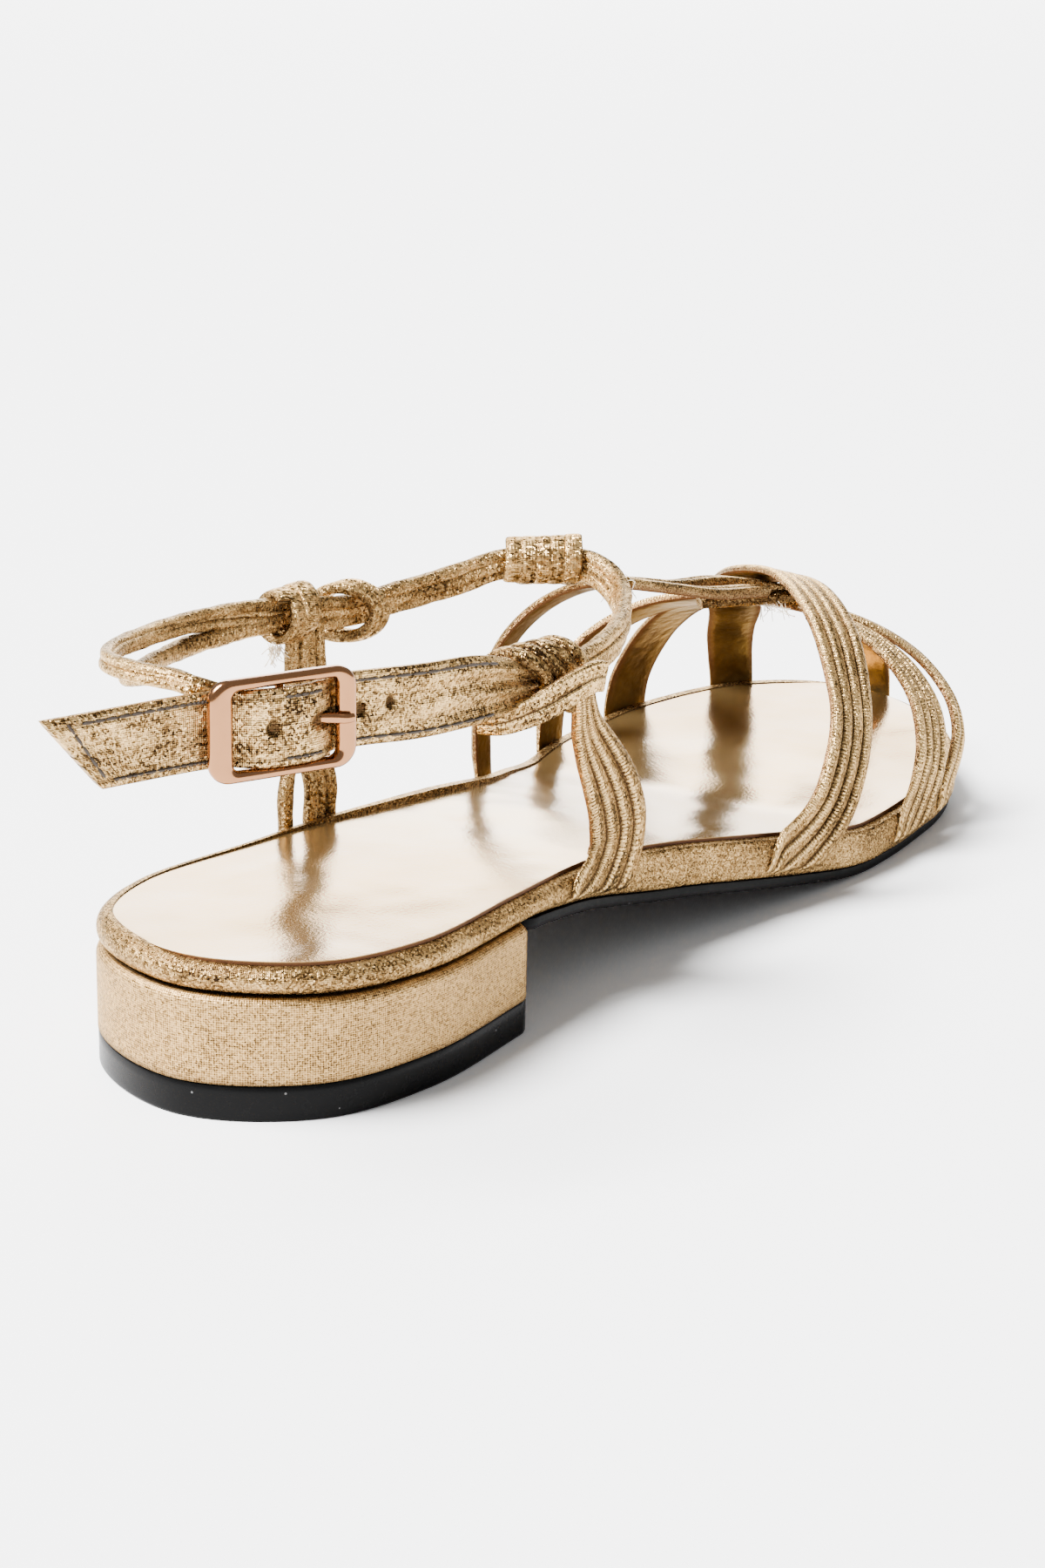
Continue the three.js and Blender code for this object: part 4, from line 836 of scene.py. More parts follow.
def bundleParts(path, count, strand, twist, seed=0.0, spread=1.0, high=1.12):
    # strands side by side across the band: each one's offset swings as the bundle turns
    parts = []
    for k in range(count):
        phase = path["arc"] * twist + seed
        place = (k - (count - 1) / 2) / max(count - 1, 1) * 2
        half = path["width"] / 2 - strand
        across = place * half * spread * np.cos(0.35 * np.sin(phase))
        out = 0.35 * np.sin(phase + 2.1 * k)
        line = path["point"] + path["side"] * across[:, None] + path["out"] * out[:, None]
        wide = strand * np.clip(path["width"] / path["width"].max(), 0.7, 1)
        parts.append(tubePart(line, path["side"], path["out"], wide, wide * high, seed=seed + k))
    return parts


strap = dict(thickness=2.1, crossWidth=14.5, toeWidth=7.5, instepWidth=9.5, postWidth=6.5,
             cordWidth=4.4, cordLift=2.9, cordThickness=2.3)
fine = np.linspace(0, 1, 220)
fourRibs, twoRibs = pipedProfile(4, 0.2, 0.28), pipedProfile(2, 0.25, 0.24)
twinCord = pipedProfile(2, 0.62, 0.0, 9, 6)

# rows over the last: share of its length, degrees round it, lift in thicknesses, width share
crossRows = [(0.526, -98, 0, 1.04), (0.56, -95, 0, 1), (0.594, -88.5, 0, 1), (0.622, -76.5, 0, 1),
             (0.647, -64, 0, 1), (0.673, -50, 0.1, 1), (0.71, -32, 1.1, 1),
             (0.757, -13, 2.5, 0.98), (0.803, 4, 2.4, 0.92),
             (0.849, 17, 1.5, 0.86), (0.9, 30, 0.5, 0.8), (0.93, 46, 0.1, 0.76), (0.95, 66, 0, 0.74),
             (0.957, 84, 0, 0.73), (0.958, 97, 0, 0.73)]
underRows = [(0.712, -98, 0, 1.06), (0.745, -93.5, 0, 1.06), (0.766, -84, 0, 1.05),
             (0.781, -74, 0, 1.04), (0.793, -62, 0, 1), (0.798, -48, 0, 0.95),
             (0.799, -33, 0, 0.9), (0.799, -16, -0.1, 0.86), (0.799, 2, -0.2, 0.84),
             (0.796, 18, -0.2, 0.84), (0.789, 34, 0, 0.84), (0.775, 48, 0, 0.85), (0.756, 62, 0, 0.86),
             (0.739, 77, 0, 0.88), (0.73, 90, 0, 0.88), (0.729, 98, 0, 0.88)]
toeRows = [(0.8, -97, 0, 0.95), (0.825, -91, 0, 0.95), (0.85, -80, 0, 0.95), (0.865, -68, 0, 0.95),
           (0.87, -56, 0, 0.95), (0.864, -43, 0.2, 0.98), (0.846, -29, 0.4, 1),
           (0.824, -14, 0.4, 1.05), (0.812, 1, 0.4, 1.15), (0.818, 16, 0.3, 1.3),
           (0.83, 31, 0.1, 1.45), (0.846, 46, 0, 1.6), (0.856, 61, 0, 1.7),
           (0.856, 77, 0, 1.75), (0.851, 90, 0, 1.8), (0.849, 98, 0, 1.8)]
instepRows = [(0.555, 98, 0, 1), (0.554, 87, 0, 1), (0.545, 75, 0, 1), (0.541, 63, 0, 1),
              (0.545, 49, 0, 1), (0.555, 35, 0, 0.95), (0.564, 22, 0, 0.85), (0.57, 10, 0, 0.75)]
upperCordRows = [(0.538, 9.5, -0.3, 1), (0.6, 8, 0, 1), (0.66, 6, 0.25, 1), (0.72, 2.5, 0.55, 1),
                 (0.775, -3, 0.75, 1), (0.83, -7.5, 0.8, 1), (0.885, -6.5, 0.6, 0.95),
                 (0.93, -3.5, 0.5, 0.9)]
lowerCordRows = [(0.538, 1.5, -0.3, 1), (0.6, -1, -0.15, 1), (0.66, -3.5, 0.05, 1), (0.715, -5, 0.2, 1),
                 (0.755, -4.2, 0.4, 1), (0.79, 1, 0.6, 1), (0.83, 4, 0.8, 1),
                 (0.885, 2.5, 0.6, 0.95), (0.925, 2, 0.5, 0.9)]
gold = [strapCloth, liningLeather]


def lastStrap(rows, width, ribs, seed, t=fine):
    # a ribbed strap of the usual thickness along rows over the last
    path = lastPath(rows, strap[width], strap["thickness"], t)
    return strapPart(path, ribs, strap["thickness"], seed=seed)


makePiece("crossingStrap", [lastStrap(crossRows, "crossWidth", fourRibs, 0.3)], gold,
          ["upper"])
makePiece("underStrap", [lastStrap(underRows, "crossWidth", fourRibs, 1.9)], gold)
makePiece("toeStrap", [lastStrap(toeRows, "toeWidth", twoRibs, 2.7)], gold)
makePiece("instepStrap", [lastStrap(instepRows, "instepWidth", twoRibs, 3.4, fine[::2])], gold)

# the two cords on top of the foot, and the pair of strands that passes under the crossing
cordParts = [strapPart(lastPath(rows, strap["cordWidth"], strap["cordLift"], fine), twinCord,
                       strap["cordThickness"], seed=seed)
             for rows, seed in ((upperCordRows, 4.1), (lowerCordRows, 5.2))]
through = dict(width=3.6, strand=0.95, twist=0.12)
throughPoints = np.array([(153.1, -2.6, 48.3), (158.0, -6.8, 48.6), (163.2, -10.7, 48.5),
                          (169.5, -14.6, 48.1), (174.6, -18.2, 46.9), (178.4, -21.4, 44.4)])
throughPath = strapPath(throughPoints, np.tile([(-0.2, 0.1, 1.0)], (6, 1)), np.ones(6),
                        through["width"], np.linspace(0, 1, 90))
throughParts = bundleParts(throughPath, 2, through["strand"], through["twist"], 1.0)
makePiece("instepCords", cordParts + throughParts, gold)

# toe post: from the cords down through the sole, its face turning from up to forward
postRows = np.array([  # share of the length, share of the instep height over the footbed
    (0.885, 0.5), (0.93, 0.44), (0.97, 0.34), (1.002, 0.17), (1.015, -0.02), (1.017, -0.17)])
postX = xOf(postRows[:, 0])
postHeight = footbedAt(postX) + postRows[:, 1] * last["instep"]
postPoints = np.stack([postX, 0 * postX - 0.11 * last["ball"], postHeight], -1)
postLean = np.linspace(0, 1, len(postX))
postOuts = unit(np.stack([0.4 + postLean, 0 * postLean, 1 - postLean], -1))
postPath = strapPath(postPoints, postOuts, np.ones(len(postX)), strap["postWidth"], fine[::2])
postPart = strapPart(postPath, twoRibs, strap["thickness"], seed=6.1)
makePiece("toePost", [postPart], gold)
print("forefoot straps made")

# ankle cords: strands beside each other that turn slowly round their line

ankle = dict(width=6.4, strand=1.35, twist=0.05)
ankleRows = np.array([  # turn, reach, height, width share
    (192, 0.89, 1.165, 0.66), (175, 0.885, 1.17, 0.66), (155, 0.88, 1.155, 0.66),
    (136, 0.9, 1.125, 0.66), (119, 0.95, 1.092, 0.68), (104, 1, 1.065, 0.72), (91, 1, 1.032, 0.84),
    (79, 1, 0.985, 1), (68, 1, 0.945, 1), (56, 1, 0.946, 1), (44, 1, 0.96, 1), (32, 1, 0.99, 0.95),
    (20, 1, 0.997, 0.9), (10, 1, 0.991, 0.95), (1, 1, 0.975, 1), (-10, 0.985, 0.937, 1),
    (-24, 0.93, 0.912, 1), (-50, 0.9, 0.912, 1), (-69, 0.915, 0.918, 0.95), (-80, 0.905, 0.926, 0.85)])
innerCordRows = np.array([
    (194, 0.87, 1.155, 0.8), (175, 0.83, 1.14, 0.8), (155, 0.82, 1.1, 0.8), (136, 0.85, 1.055, 0.85),
    (119, 0.92, 1.02, 0.9), (104, 0.985, 1.003, 1), (92, 0.995, 0.99, 1), (82, 1, 0.975, 1)])


def collarPath(rows, width, t, before=None):
    # a path round the oval, after the places and width shares of before, which face as the buckle
    point, out = onCollar(rows[:, 0], rows[:, 1], rows[:, 2])
    wide = rows[:, 3]
    if before is not None:
        point = np.vstack([before[:, :3], point])
        out = np.vstack([0 * before[:, :3] + buckleFace, out])
        wide = np.concatenate([before[:, 3], wide])
    return strapPath(point, out, wide, width, t)


buckleStart = np.hstack([onBuckle([2.4, 7, 12.5], [1.5, 4, 6.3], [-3.4, -5, -6.2]),
                         [[0.78], [0.72], [0.66]]])
anklePath = collarPath(ankleRows, ankle["width"], np.linspace(0, 1, 620), buckleStart)
innerPath = collarPath(innerCordRows, strap["cordWidth"], fine)
ankleParts = bundleParts(anklePath, 3, ankle["strand"], ankle["twist"], 0.4)
innerHalf = innerPath["width"] / 2
ankleParts.append(tubePart(innerPath["point"], innerPath["side"], innerPath["out"], innerHalf * 0.8,
                           innerHalf * 0.75, seed=7.0))
makePiece("ankleCords", ankleParts, [cordCloth], ["ankle_cords"], 80)


# wraps: a flat cord wound round the ankle cords


def wrapFrame(turn, height):
    # the cords' line at a turn round the oval: its place, the way along, out and their product
    point, out = onCollar(turn, 1.0, height)
    ahead = unit(onCollar(turn - 2, 1.0, height)[0] - onCollar(turn + 2, 1.0, height)[0])
    return point, ahead, out, np.cross(out, ahead)


def windingPart(turn, height, look, seed=0.0):
    # a helix round the cords' line: the angle grows evenly, the radius wavers, and the place along
    # the line moves on a pitch for each turn, with a slant that tips every turn the same way
    point, ahead, out, up = wrapFrame(turn, height)
    t = np.linspace(0, 1, int(90 * look["turns"]))
    a = look["start"] + 2 * np.pi * look["turns"] * t
    along = (t - 0.5) * (look["length"] - look["cord"])
    along = along + look["slant"] * np.sin(a + look["slantTurn"])
    radius = look["radius"] - look["thick"] / 2 + look["loose"] * wobble(a * 0.7 + seed)
    radius = radius + look.get("flare", 0) * t ** 5  # the last turn stands open
    ring = out * (np.cos(a) * look["flat"])[:, None] + up * np.sin(a)[:, None]
    line = point + ahead * along[:, None] + ring * radius[:, None]
    tangent = unit(np.gradient(line, axis=0))
    side = unit(np.cross(tangent, ring))
    face = unit(np.cross(side, tangent))
    return tubePart(line, side, face, look["cord"] / 2, look["thick"] / 2, seed=seed, steps=16,
                    flat=3.2, restless=0.06)


coil = dict(turns=4.4, length=16.4, cord=3.7, thick=1.5, radius=4.8, flat=0.92, slant=0.3,
            slantTurn=0.4, start=2.2, loose=0.08, flare=0.35)
slip = dict(turns=2.1, length=6.4, cord=3.2, thick=2.3, radius=6.0, flat=0.95, slant=4.0,
            slantTurn=-1.4, start=0.5, loose=0.25)
keeper = dict(turns=2.3, length=11.5, cord=5.2, thick=1.6, radius=5.2, flat=0.9, slant=0.6,
              slantTurn=2.0, start=4.0, loose=0.4)
makePiece("coilWrap", [windingPart(20.5, 0.997, coil, 1.0)], [cordCloth],
          ["coil_wrap"], 80)
makePiece("slipKnot", [windingPart(67, 0.944, slip, 2.0)], [cordCloth],
          ["slip_knot"], 80)

# inner upright: a band of three strands and a thin cord from the sole to the keeper
upright = dict(bandFoot=0.305, bandTop=75.5, bandWidth=8.5, bandStrand=1.42,
               cordFoot=0.27, cordTop=79.5, cordWidth=3.6, cordStrand=1.5)


def innerUprightParts(kind, count):
    # strands from the foot on the last straight up to the oval
    low, lowOut = onLast(np.full(3, upright[kind + "Foot"]), np.array([97.0, 90, 84]), np.zeros(3))
    high, highOut = onCollar(np.full(3, upright[kind + "Top"]), np.array([0.98, 0.985, 0.985]),
                             np.array([0.6, 0.78, 0.94]))
    path = strapPath(np.vstack([low, high]), np.vstack([lowOut, highOut]), [1, 1, 1, 1, 1, 0.9],
                     upright[kind + "Width"], np.linspace(0, 1, 150))
    return bundleParts(path, count, upright[kind + "Strand"], 0.0, 0.2, high=0.85)


uprightParts = innerUprightParts("band", 3) + innerUprightParts("cord", 1)
uprightParts.append(windingPart(80, 0.988, keeper, 3.0))
makePiece("innerUpright", uprightParts, [cordCloth], ["inner_upright"], 75)

# outer upright: four ribs that fan from the sole and loop over the ankle cords one by one
outer = dict(width=16, points=240)
outerRows = np.array([(0.282, -100, 0, 0.95), (0.319, -97.5, 0, 1.05), (0.345, -93, 0, 1.15),
                      (0.354, -87, 0, 1.2), (0.349, -79.5, 0, 1.12), (0.336, -72, 0, 0.96),
                      (0.322, -65, 0.1, 0.78)])
topRows = np.array([  # place, the y and z it faces, width share
    (50, -31.9, 53.2, -1, 0.1, 0.6), (47, -33.2, 57.5, -1, 0.1, 0.5),
    (45, -33.8, 60.5, -1, 0.2, 0.42)])
outerPoint, outerOut = onLast(*outerRows[:, :2].T, outerRows[:, 2] * strap["thickness"])
topOut = unit(np.stack([0 * topRows[:, 3], topRows[:, 3], topRows[:, 4]], -1))
outerPath = strapPath(np.vstack([outerPoint, topRows[:, :3]]), np.vstack([outerOut, topOut]),
                      np.concatenate([outerRows[:, 3], topRows[:, 5]]), outer["width"],
                      np.linspace(0, 1, outer["points"]))
hook = dict(spacing=4.1, reach=5.2, rise=6.3, wide=1.5, thick=1.25, first=(43.0, -30.2, 61.8),
            outward=0.5, upward=0.15, points=110)


def hookLoop(k):
    # one rib's end: up the outer side, then an ellipse over the ankle cords and down behind them.
    # Its place along the cords grows with its number, and it leans forward at its start.
    a = np.radians([-8, 28, 64, 100, 136, 172, 208, 240])
    lean = np.array([3.0, 1.8, 0.6, -0.3, -0.8, -0.6, 0.4, 2.0])
    step = np.array([-hook["spacing"], hook["outward"], hook["upward"]])
    centre = np.array(hook["first"]) + k * step
    ahead = lean + 0.5 * k * (lean > 1)
    ring = np.stack([ahead, -hook["reach"] * np.cos(a), hook["rise"] * np.sin(a)], -1)
    low = np.array([(47.2 - 1.2 * k, -33.6, 57.0)])
    points = np.vstack([low, centre + ring])
    outs = unit(np.vstack([[(0, -1, 0.1)], np.stack([0 * a, -np.cos(a), np.sin(a)], -1)]))
    t = np.linspace(0, 1, hook["points"])
    path = strapPath(points, outs, np.ones(len(points)), 1, t)
    swell = 0.9 + 0.15 * np.sin(np.pi * t)
    return tubePart(path["point"], path["side"], path["out"], hook["wide"] * swell,
                    hook["thick"] * swell, seed=12.0 + k, flat=2.8, restless=0.05)


# the fan and its loops wear the darker copy of the strap cloth, painted shade
fanPart = strapPart(outerPath, fourRibs, strap["thickness"], seed=10.3)
makePiece("outerUpright", [fanPart] + [hookLoop(k) for k in range(4)], [fanClothShaded, liningLeather],
          ["outer_upright"])
print("ankle made")

# buckle strap: flat stitched strap, gathered towards the knot, its tip cut on a slant

buckle = dict(length=26, rail=1.9, tipBar=4.2, prongBar=3.4, thickness=2.6, corner=3.6, window=1.3,
              room=0.3)
buckleHalf = buckle["length"] / 2
buckleStrap = dict(width=12.4, thickness=1.8, gather=0.9, stitchIn=1.35, stitchSize=0.29,
                   holeDepth=0.75)
thread = np.array([  # share of the buckle's half length, height over its middle in mm
    (3.15, 0.4), (2.4, -0.7), (1.6, -1.9), (1.15, -2.4), (0.9, -2.45), (0.7, -2.3), (0.38, 0.3),
    (0.05, 1.35), (-0.3, 1.2), (-0.52, 0.1), (-0.76, -2.3), (-0.95, -2.45), (-1.2, -2.3)])
strapRows = np.array([  # turn, reach, height, width share
    (-113, 1, 1.032, 1), (-103, 1, 1.012, 0.96), (-95, 0.975, 0.985, 0.8),
    (-90, 0.945, 0.962, 0.62), (-83, 0.91, 0.94, 0.42)])
threadPoints = onBuckle(thread[:, 0] * buckleHalf, 0 * thread[:, 0], thread[:, 1])
collarPoints, collarOuts = onCollar(strapRows[:, 0], strapRows[:, 1], strapRows[:, 2])
mainPoints = np.vstack([threadPoints, collarPoints])
mainOuts = np.vstack([0 * threadPoints + buckleFace, collarOuts])
mainWide = np.concatenate([np.where(np.abs(thread[:, 0]) < 0.6, 1.03, 1), strapRows[:, 3]])


def buckleStrapSurface(across, t, height):
    # the flat section at each t; near the tip t is shifted with the place across, which cuts it
    # on a slant, and near the knot soft folds run along it
    tip = np.clip(1 - t / 0.1, 0, 1)
    shifted = t + tip * 0.062 * (0.5 + across)
    path = strapPath(mainPoints, mainOuts, mainWide, buckleStrap["width"], shifted.ravel())
    shape = across.shape
    p, side, out = (path[k].reshape(*shape, 3) for k in ("point", "side", "out"))
    width = path["width"].reshape(shape)
    knot = np.clip((t - 0.72) / 0.28, 0, 1)
    fold = buckleStrap["gather"] * knot * np.sin(across * 17 + 0.6) * (height > 0)
    fromStitch = np.abs(across) * width - width / 2 + buckleStrap["stitchIn"]
    groove = 0.22 * np.exp(-(fromStitch / 0.4) ** 2) * (1 - knot)
    rise = height * buckleStrap["thickness"] * 0.5 + fold - groove * (height > 0)
    return p + side * (across * width)[..., None] + out * rise[..., None]


acrossFace = np.linspace(-0.5, 0.5, 41)
sectionW = np.concatenate([acrossFace, acrossFace[::-1]])
faceHeight = np.minimum(1, 0.35 + 9 * (0.5 - np.abs(acrossFace))) ** 0.7
sectionH = np.concatenate([faceHeight, -faceHeight[::-1]])
strapT = np.linspace(0, 1, 460)
gridW, gridT = np.broadcast_arrays(sectionW[None], strapT[:, None])
mainGrid = buckleStrapSurface(gridW, gridT, np.broadcast_to(sectionH[None], gridW.shape))
uvAcross = np.append(sectionW, sectionW[:1] - 0.1) * buckleStrap["width"]
mainUv = uvOf(arcOf(curveAt(mainPoints, strapT)), uvAcross)


def holeMark(grid, place, radius, stretch=1.0):
    # 1 inside a hole punched through the strap at that length along the buckle, fading outside it
    rel = grid - buckleCentre
    length, up = rel @ buckleAlong, rel @ buckleUp
    return np.clip(1.6 - np.hypot((length - place) / stretch, up) / radius, 0, 1)


punches = [(2.3, 0.9), (-14.7, 0.95), (-21.3, 0.85), (-7.6, 1.0, 2.6)]  # place, radius, stretch in mm
holes = np.maximum.reduce([holeMark(mainGrid, *punch) for punch in punches])
face = sectionH[None] > 0
fromStitch = np.abs(gridW) * buckleStrap["width"] - buckleStrap["width"] / 2 + buckleStrap["stitchIn"]
# painted shade along the sunken stitch lines
stitchShade = np.exp(-(fromStitch / 0.35) ** 2)
pressed = buckleStrap["holeDepth"] * np.clip(holes * 1.5, 0, 1) * face
# groove paints shade inside the punched holes and along the stitch lines
mainMarks = {"groove": np.clip(holes * 1.6 + 0.55 * stitchShade * face, 0, 1),
             "edge": 0.5 * (np.abs(gridW) > 0.485)}
mainPart = gridPart(mainGrid - buckleFace * pressed[..., None], mainUv, mainMarks)

# the end tab: a flat strip that folds round the knot and runs forward along the outside
tab = dict(width=5.6, thickness=1.6)
tabPoints = np.array([(23.5, -26.5, 57.8), (25.5, -29.8, 57.9), (28.8, -32.7, 58.9),
                      (32.6, -35.4, 60.4), (37.8, -37.7, 62.5), (42.6, -38.6, 63.2),
                      (46.0, -38.6, 62.6)])
tabOuts = np.array([(-0.2, -1, -0.3), (-0.3, -1, -0.2), (-0.3, -1, 0), (-0.3, -1, 0.1),
                    (-0.2, -1, 0.1), (0, -1, 0), (0.1, -1, -0.1)])
tabPath = strapPath(tabPoints, unit(tabOuts), [0.8, 0.95, 1, 1, 1, 1, 1], tab["width"],
                    np.linspace(0, 1, 120))
tabPart = strapPart(tabPath, pipedProfile(2, 0.8, 0.05), tab["thickness"],
                    base=-tab["thickness"] / 2, seed=11.0, floor=False)
tabPart["looks"] = np.zeros_like(tabPart["looks"])
makePiece("buckleStrapCover", [mainPart, tabPart], [lameCloth], ["buckle_strap"], 75)


def stitchRow(start, end, count, across, acrossEnd=None):
    # short round threads laid end to end: every second span of the row is one, thick in its
    # middle by the square root of one less its place squared
    t = np.linspace(start, end, 2 * count + 1)
    place = np.linspace(across, across if acrossEnd is None else acrossEnd, len(t))
    centre = buckleStrapSurface(place[None], t[None], np.full((1, len(t)), 1.0))[0]
    a, b = centre[0:-1:2], centre[1::2]
    ahead = unit(b - a)
    out = unit(buckleFace - ahead * (ahead @ buckleFace)[:, None])
    up = np.cross(out, ahead)
    s = np.linspace(-0.5, 1.5, 7)[None, :, None, None]
    turn = np.arange(6) * np.pi / 3
    size = buckleStrap["stitchSize"] * np.sqrt(np.clip(1 - (s - 0.5) ** 2 * 0.98, 0.02, 1))
    line = a[:, None, None] + (b - a)[:, None, None] * s
    ring = np.cos(turn)[:, None] * out[:, None, None] + np.sin(turn)[:, None] * up[:, None, None]
    return line + ring * size + 0.12 * out[:, None, None]


edgeAt = 0.5 - buckleStrap["stitchIn"] / buckleStrap["width"]
stitchRuns = [(0.04, 0.30, 20), (0.42, 0.52, 6), (0.66, 0.86, 13)]  # start, end and count
stitchRows = [stitchRow(0.022, 0.022, 5, -edgeAt, edgeAt)]  # down the slanted tip
stitchRows += [stitchRow(*run, side) for run in stitchRuns for side in (-edgeAt, edgeAt)]
stitches = [gridPart(stitch, np.zeros((8, 7, 2))) for row in stitchRows for stitch in row]
makePiece("strapStitches", stitches, [threadBrown], (), 80)
print("buckle strap made")

rng = np.random.default_rng(7)


def frayParts(place, direction, spread, count, length, thick=0.07):
    # thin threads that leave a small patch in a common direction, each with its own random turn
    # and a bend that grows with the square of the length
    parts = []
    t = np.linspace(0, 1, 7)[:, None]
    aim = unit(np.array(direction, float))
    for start in place + rng.normal(0, 1, (count, 3)) * spread:
        way = unit(aim + rng.normal(0, 0.45, 3))
        bend = np.cross(way, rng.normal(0, 1, 3)) * rng.uniform(0.1, 0.7)
        line = start + (way * t + bend * t ** 2) * length * rng.uniform(0.4, 1.0)
        side = unit(np.cross(np.gradient(line, axis=0), (0.3, 0.2, 1.0)))
        out = unit(np.cross(side, np.gradient(line, axis=0)))
        parts.append(tubePart(line, side, out, thick, thick, steps=5, flat=2.0, restless=0.0))
    return parts


keeperFrame = wrapFrame(83, 0.988)
keeperPlace = keeperFrame[0] + 5.4 * keeperFrame[3]  # under the keeper
rearPlace = onLast(0.54, 4.0, 1.0)[0]
crossPlace = onLast(0.745, -9.0, 0.0)[0]
frays = frayParts(keeperPlace, (-0.6, -0.5, -1), 0.7, 46, 2.6, 0.09)
frays += frayParts(rearPlace, (-0.6, -0.6, -0.6), (0.6, 2.0, 0.5), 40, 4.0)
frays += frayParts(crossPlace, (-0.4, -0.4, -1), (1.5, 2.5, 0.3), 30, 3.2)
makePiece("frayedThreads", frays, [frayCotton], (), 80)

# buckle: a bevelled frame, wide at the tip's side, and its prong


def roundedLoop(low, high, half, corner, count):
    # a rounded rectangle by angle: each quarter turn is a corner's arc, with the sides between
    k = count // 4
    a = np.linspace(0, np.pi / 2, k - 6)
    pieces = []
    for q, (cx, cy) in enumerate(((high - corner, half - corner), (low + corner, half - corner),
                                  (low + corner, -half + corner), (high - corner, -half + corner))):
        arc = a + q * np.pi / 2
        pieces.append(np.stack([cx + corner * np.cos(arc), cy + corner * np.sin(arc)], -1))
    loop = []
    for q in range(4):
        nextStart = pieces[(q + 1) % 4][0]
        t = np.linspace(0, 1, 8)[1:-1, None]
        loop += [pieces[q], pieces[q][-1] * (1 - t) + nextStart * t]
    return np.vstack(loop)


halfWindow = buckleStrap["width"] / 2 + buckle["room"]
outerLoop = roundedLoop(-buckleHalf, buckleHalf, halfWindow + buckle["rail"], buckle["corner"], 96)
innerLoop = roundedLoop(-buckleHalf + buckle["prongBar"], buckleHalf - buckle["tipBar"], halfWindow,
                        buckle["window"], 96)
barAngle = np.arange(20) * 2 * np.pi / 20
barAcross = 0.5 + 0.5 * np.sign(np.cos(barAngle)) * np.abs(np.cos(barAngle)) ** 0.85
barHigh = np.sign(np.sin(barAngle)) * np.abs(np.sin(barAngle)) ** 0.8 * buckle["thickness"] / 2
share = barAcross[None, :, None]
flatRing = innerLoop[:, None] * (1 - share) + outerLoop[:, None] * share
ringGrid = onBuckle(flatRing[..., 0], flatRing[..., 1], barHigh)
framePart = gridPart(ringGrid, np.zeros((len(outerLoop) + 1, 21, 2)), loop=True, caps=False)
pin = dict(radius=0.7, depth=-1.0)
pinReach = halfWindow + pin["radius"]
pinLine = onBuckle(0, np.linspace(-pinReach, pinReach, 24), pin["depth"])
pinPart = tubePart(pinLine, buckleAlong[None], buckleFace[None], pin["radius"], pin["radius"],
                   restless=0.0)
makePiece("buckleFrame", [framePart, pinPart], [roseMetal], ["buckle_frame"], 50)

# prong: a tapering finger that rests on the bar, and its eye round the pin
prong = dict(width=1.8, eyeRadius=1.7, eyeThick=0.65, eyeWide=0.85)
prongPoints = onBuckle([-0.6, -2.6, -6.6, -9.3, -10.6, -11.7], 0, [0.1, -0.2, -0.3, 1.0, 1.95, 2.0])
prongPath = strapPath(prongPoints, np.tile(buckleFace, (6, 1)), [1, 1, 1, 1, 0.9, 0.72],
                      prong["width"], np.linspace(0, 1, 60))
prongPart = tubePart(prongPath["point"], prongPath["side"], prongPath["out"], prongPath["width"] / 2,
                     prongPath["width"] * 0.4, steps=16, flat=2.4, restless=0.0)
eyeTurn = np.linspace(0, 2 * np.pi, 40, endpoint=False)
eyeLine = onBuckle(prong["eyeRadius"] * np.cos(eyeTurn), 0,
                   pin["depth"] + prong["eyeRadius"] * np.sin(eyeTurn))
eyeOut = unit(eyeLine - onBuckle(0, 0, pin["depth"]))
eyeRing = eyeLine[:, None] + eyeOut[:, None] * (prong["eyeThick"] * np.cos(barAngle))[:, None]
eyeRing = eyeRing + buckleUp * (prong["eyeWide"] * np.sin(barAngle))[:, None]
eyePart = gridPart(eyeRing, np.zeros((41, 21, 2)), loop=True, caps=False)
makePiece("buckleProng", [prongPart, eyePart], [roseMetal], ["buckle_prong"], 60)
print("buckle made")

# floor, light and camera

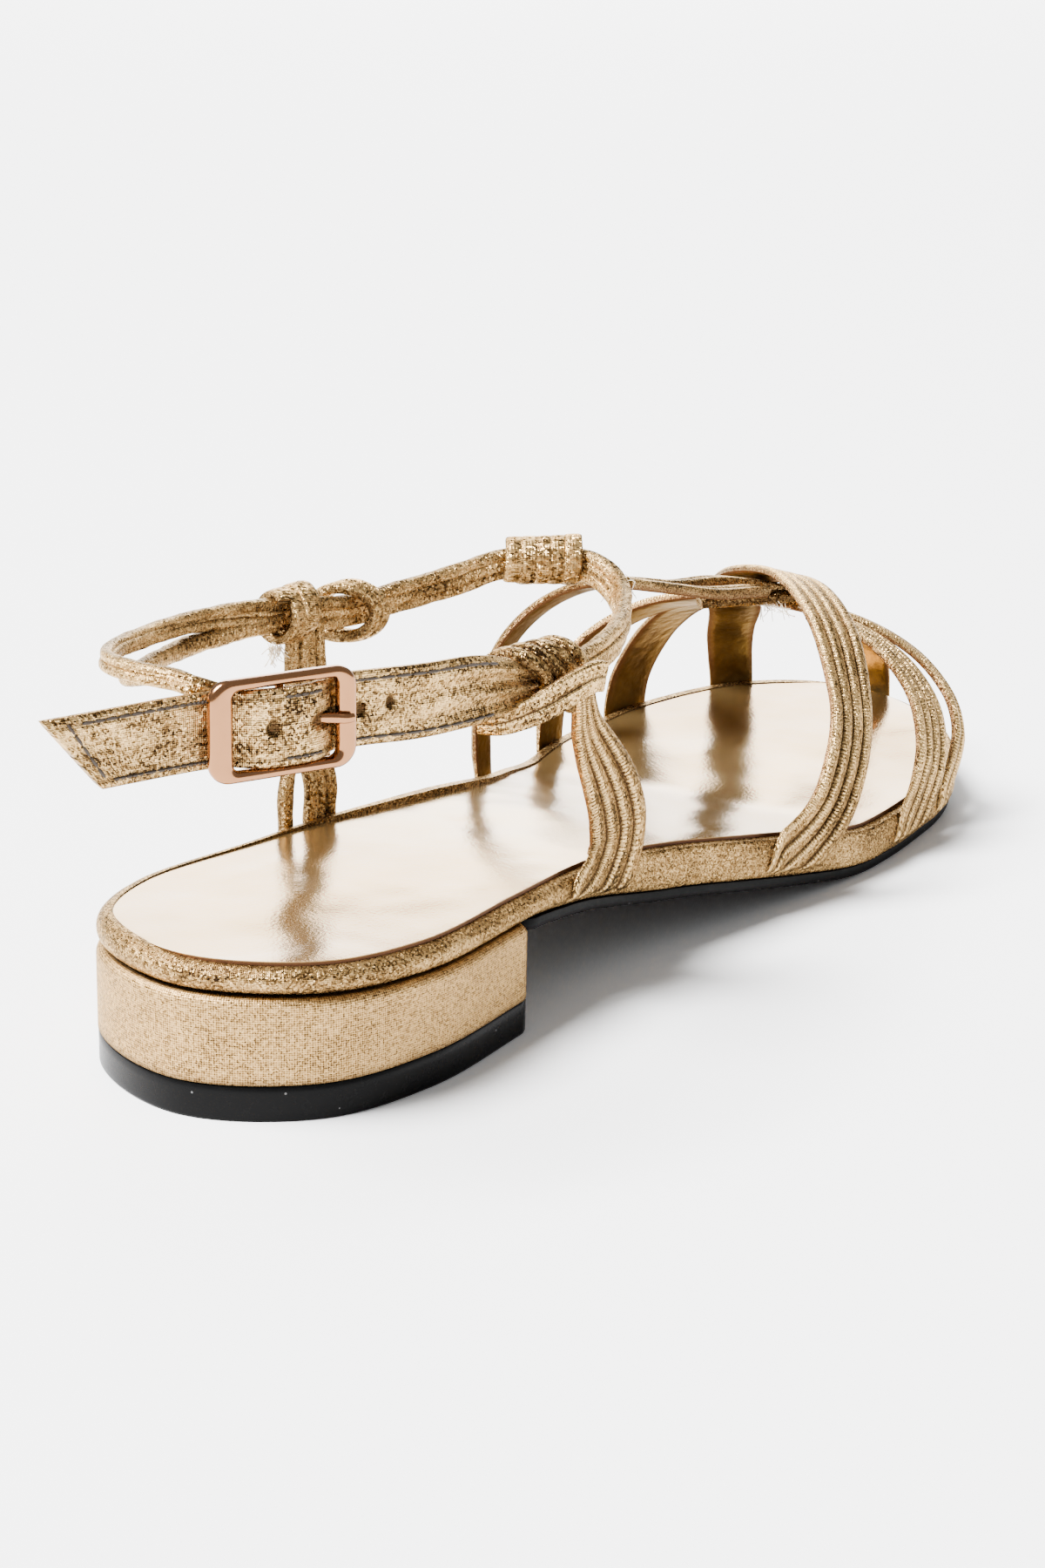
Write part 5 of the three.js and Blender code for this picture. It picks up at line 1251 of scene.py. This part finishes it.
studio = dict(floor=(0.9, 0.9, 0.905), world=0.5, sun=19.0, sunSpread=34.0, key=26.0, back=260.0)
floorMesh = bpy.data.meshes.new("studioFloor")
floorMesh.from_pydata([(-14, -14, 0), (14, -14, 0), (14, 14, 0), (-14, 14, 0)], [], [(0, 1, 2, 3)])
floor = bpy.data.objects.new("studioFloor", floorMesh)
bpy.context.scene.collection.objects.link(floor)
floorMesh.materials.append(newMaterial("floorPaint", 0.0, studio["floor"], 0.7)[0])

world = bpy.data.worlds.new("studio")
world.use_nodes = True
world.node_tree.nodes["Background"].inputs[0].default_value = (1, 1, 1, 1)
world.node_tree.nodes["Background"].inputs[1].default_value = studio["world"]
bpy.context.scene.world = world


def areaLight(name, place, target, size, power):
    # a round lamp whose own z axis points from the target to its place
    lamp = bpy.data.lights.new(name, "AREA")
    lamp.shape = "DISK"
    lamp.size = size
    lamp.energy = power
    item = bpy.data.objects.new(name, lamp)
    item.location = place
    away = np.subtract(place, target)
    z = unit(away)
    x = unit(np.cross((0, 0, 1), z))
    item.rotation_euler = Matrix(np.stack([x, np.cross(z, x), z], 1).tolist()).to_euler()
    bpy.context.scene.collection.objects.link(item)


areaLight("keyLight", (-0.7, 0.7, 1.3), (0.08, 0, 0), 0.7, studio["key"])
areaLight("backLight", (4.6, 2.7, 1.6), (0.08, 0, 0.1), 3.2, studio["back"])
sunLamp = bpy.data.lights.new("skyLight", "SUN")
sunLamp.energy = studio["sun"]
sunLamp.angle = math.radians(studio["sunSpread"])
sun = bpy.data.objects.new("skyLight", sunLamp)
sun.rotation_euler = (math.radians(-24), math.radians(-20), 0)
bpy.context.scene.collection.objects.link(sun)

view = dict(place=(-0.430523, -0.298928, 0.212087), forward=(0.82549756, 0.47857001, -0.2992065),
            right=(0.50555481, -0.86266403, 0.01500347), up=(0.25093447, 0.16365061, 0.95407042),
            focalPixels=3697.057, imageHeight=1800, centreDown=4.67)
cameraData = bpy.data.cameras.new("camera")
cameraData.sensor_width = 36
cameraData.lens = view["focalPixels"] * 36 / view["imageHeight"]
cameraData.shift_y = view["centreDown"] / view["imageHeight"]
cameraData.clip_start = 0.01
camera = bpy.data.objects.new("camera", cameraData)
turned = np.stack([view["right"], view["up"], -np.array(view["forward"])], 1)
camera.matrix_world = Matrix.Translation(view["place"]) @ Matrix(turned.tolist()).to_4x4()
bpy.context.scene.collection.objects.link(camera)
bpy.context.scene.camera = camera
print("studio made")
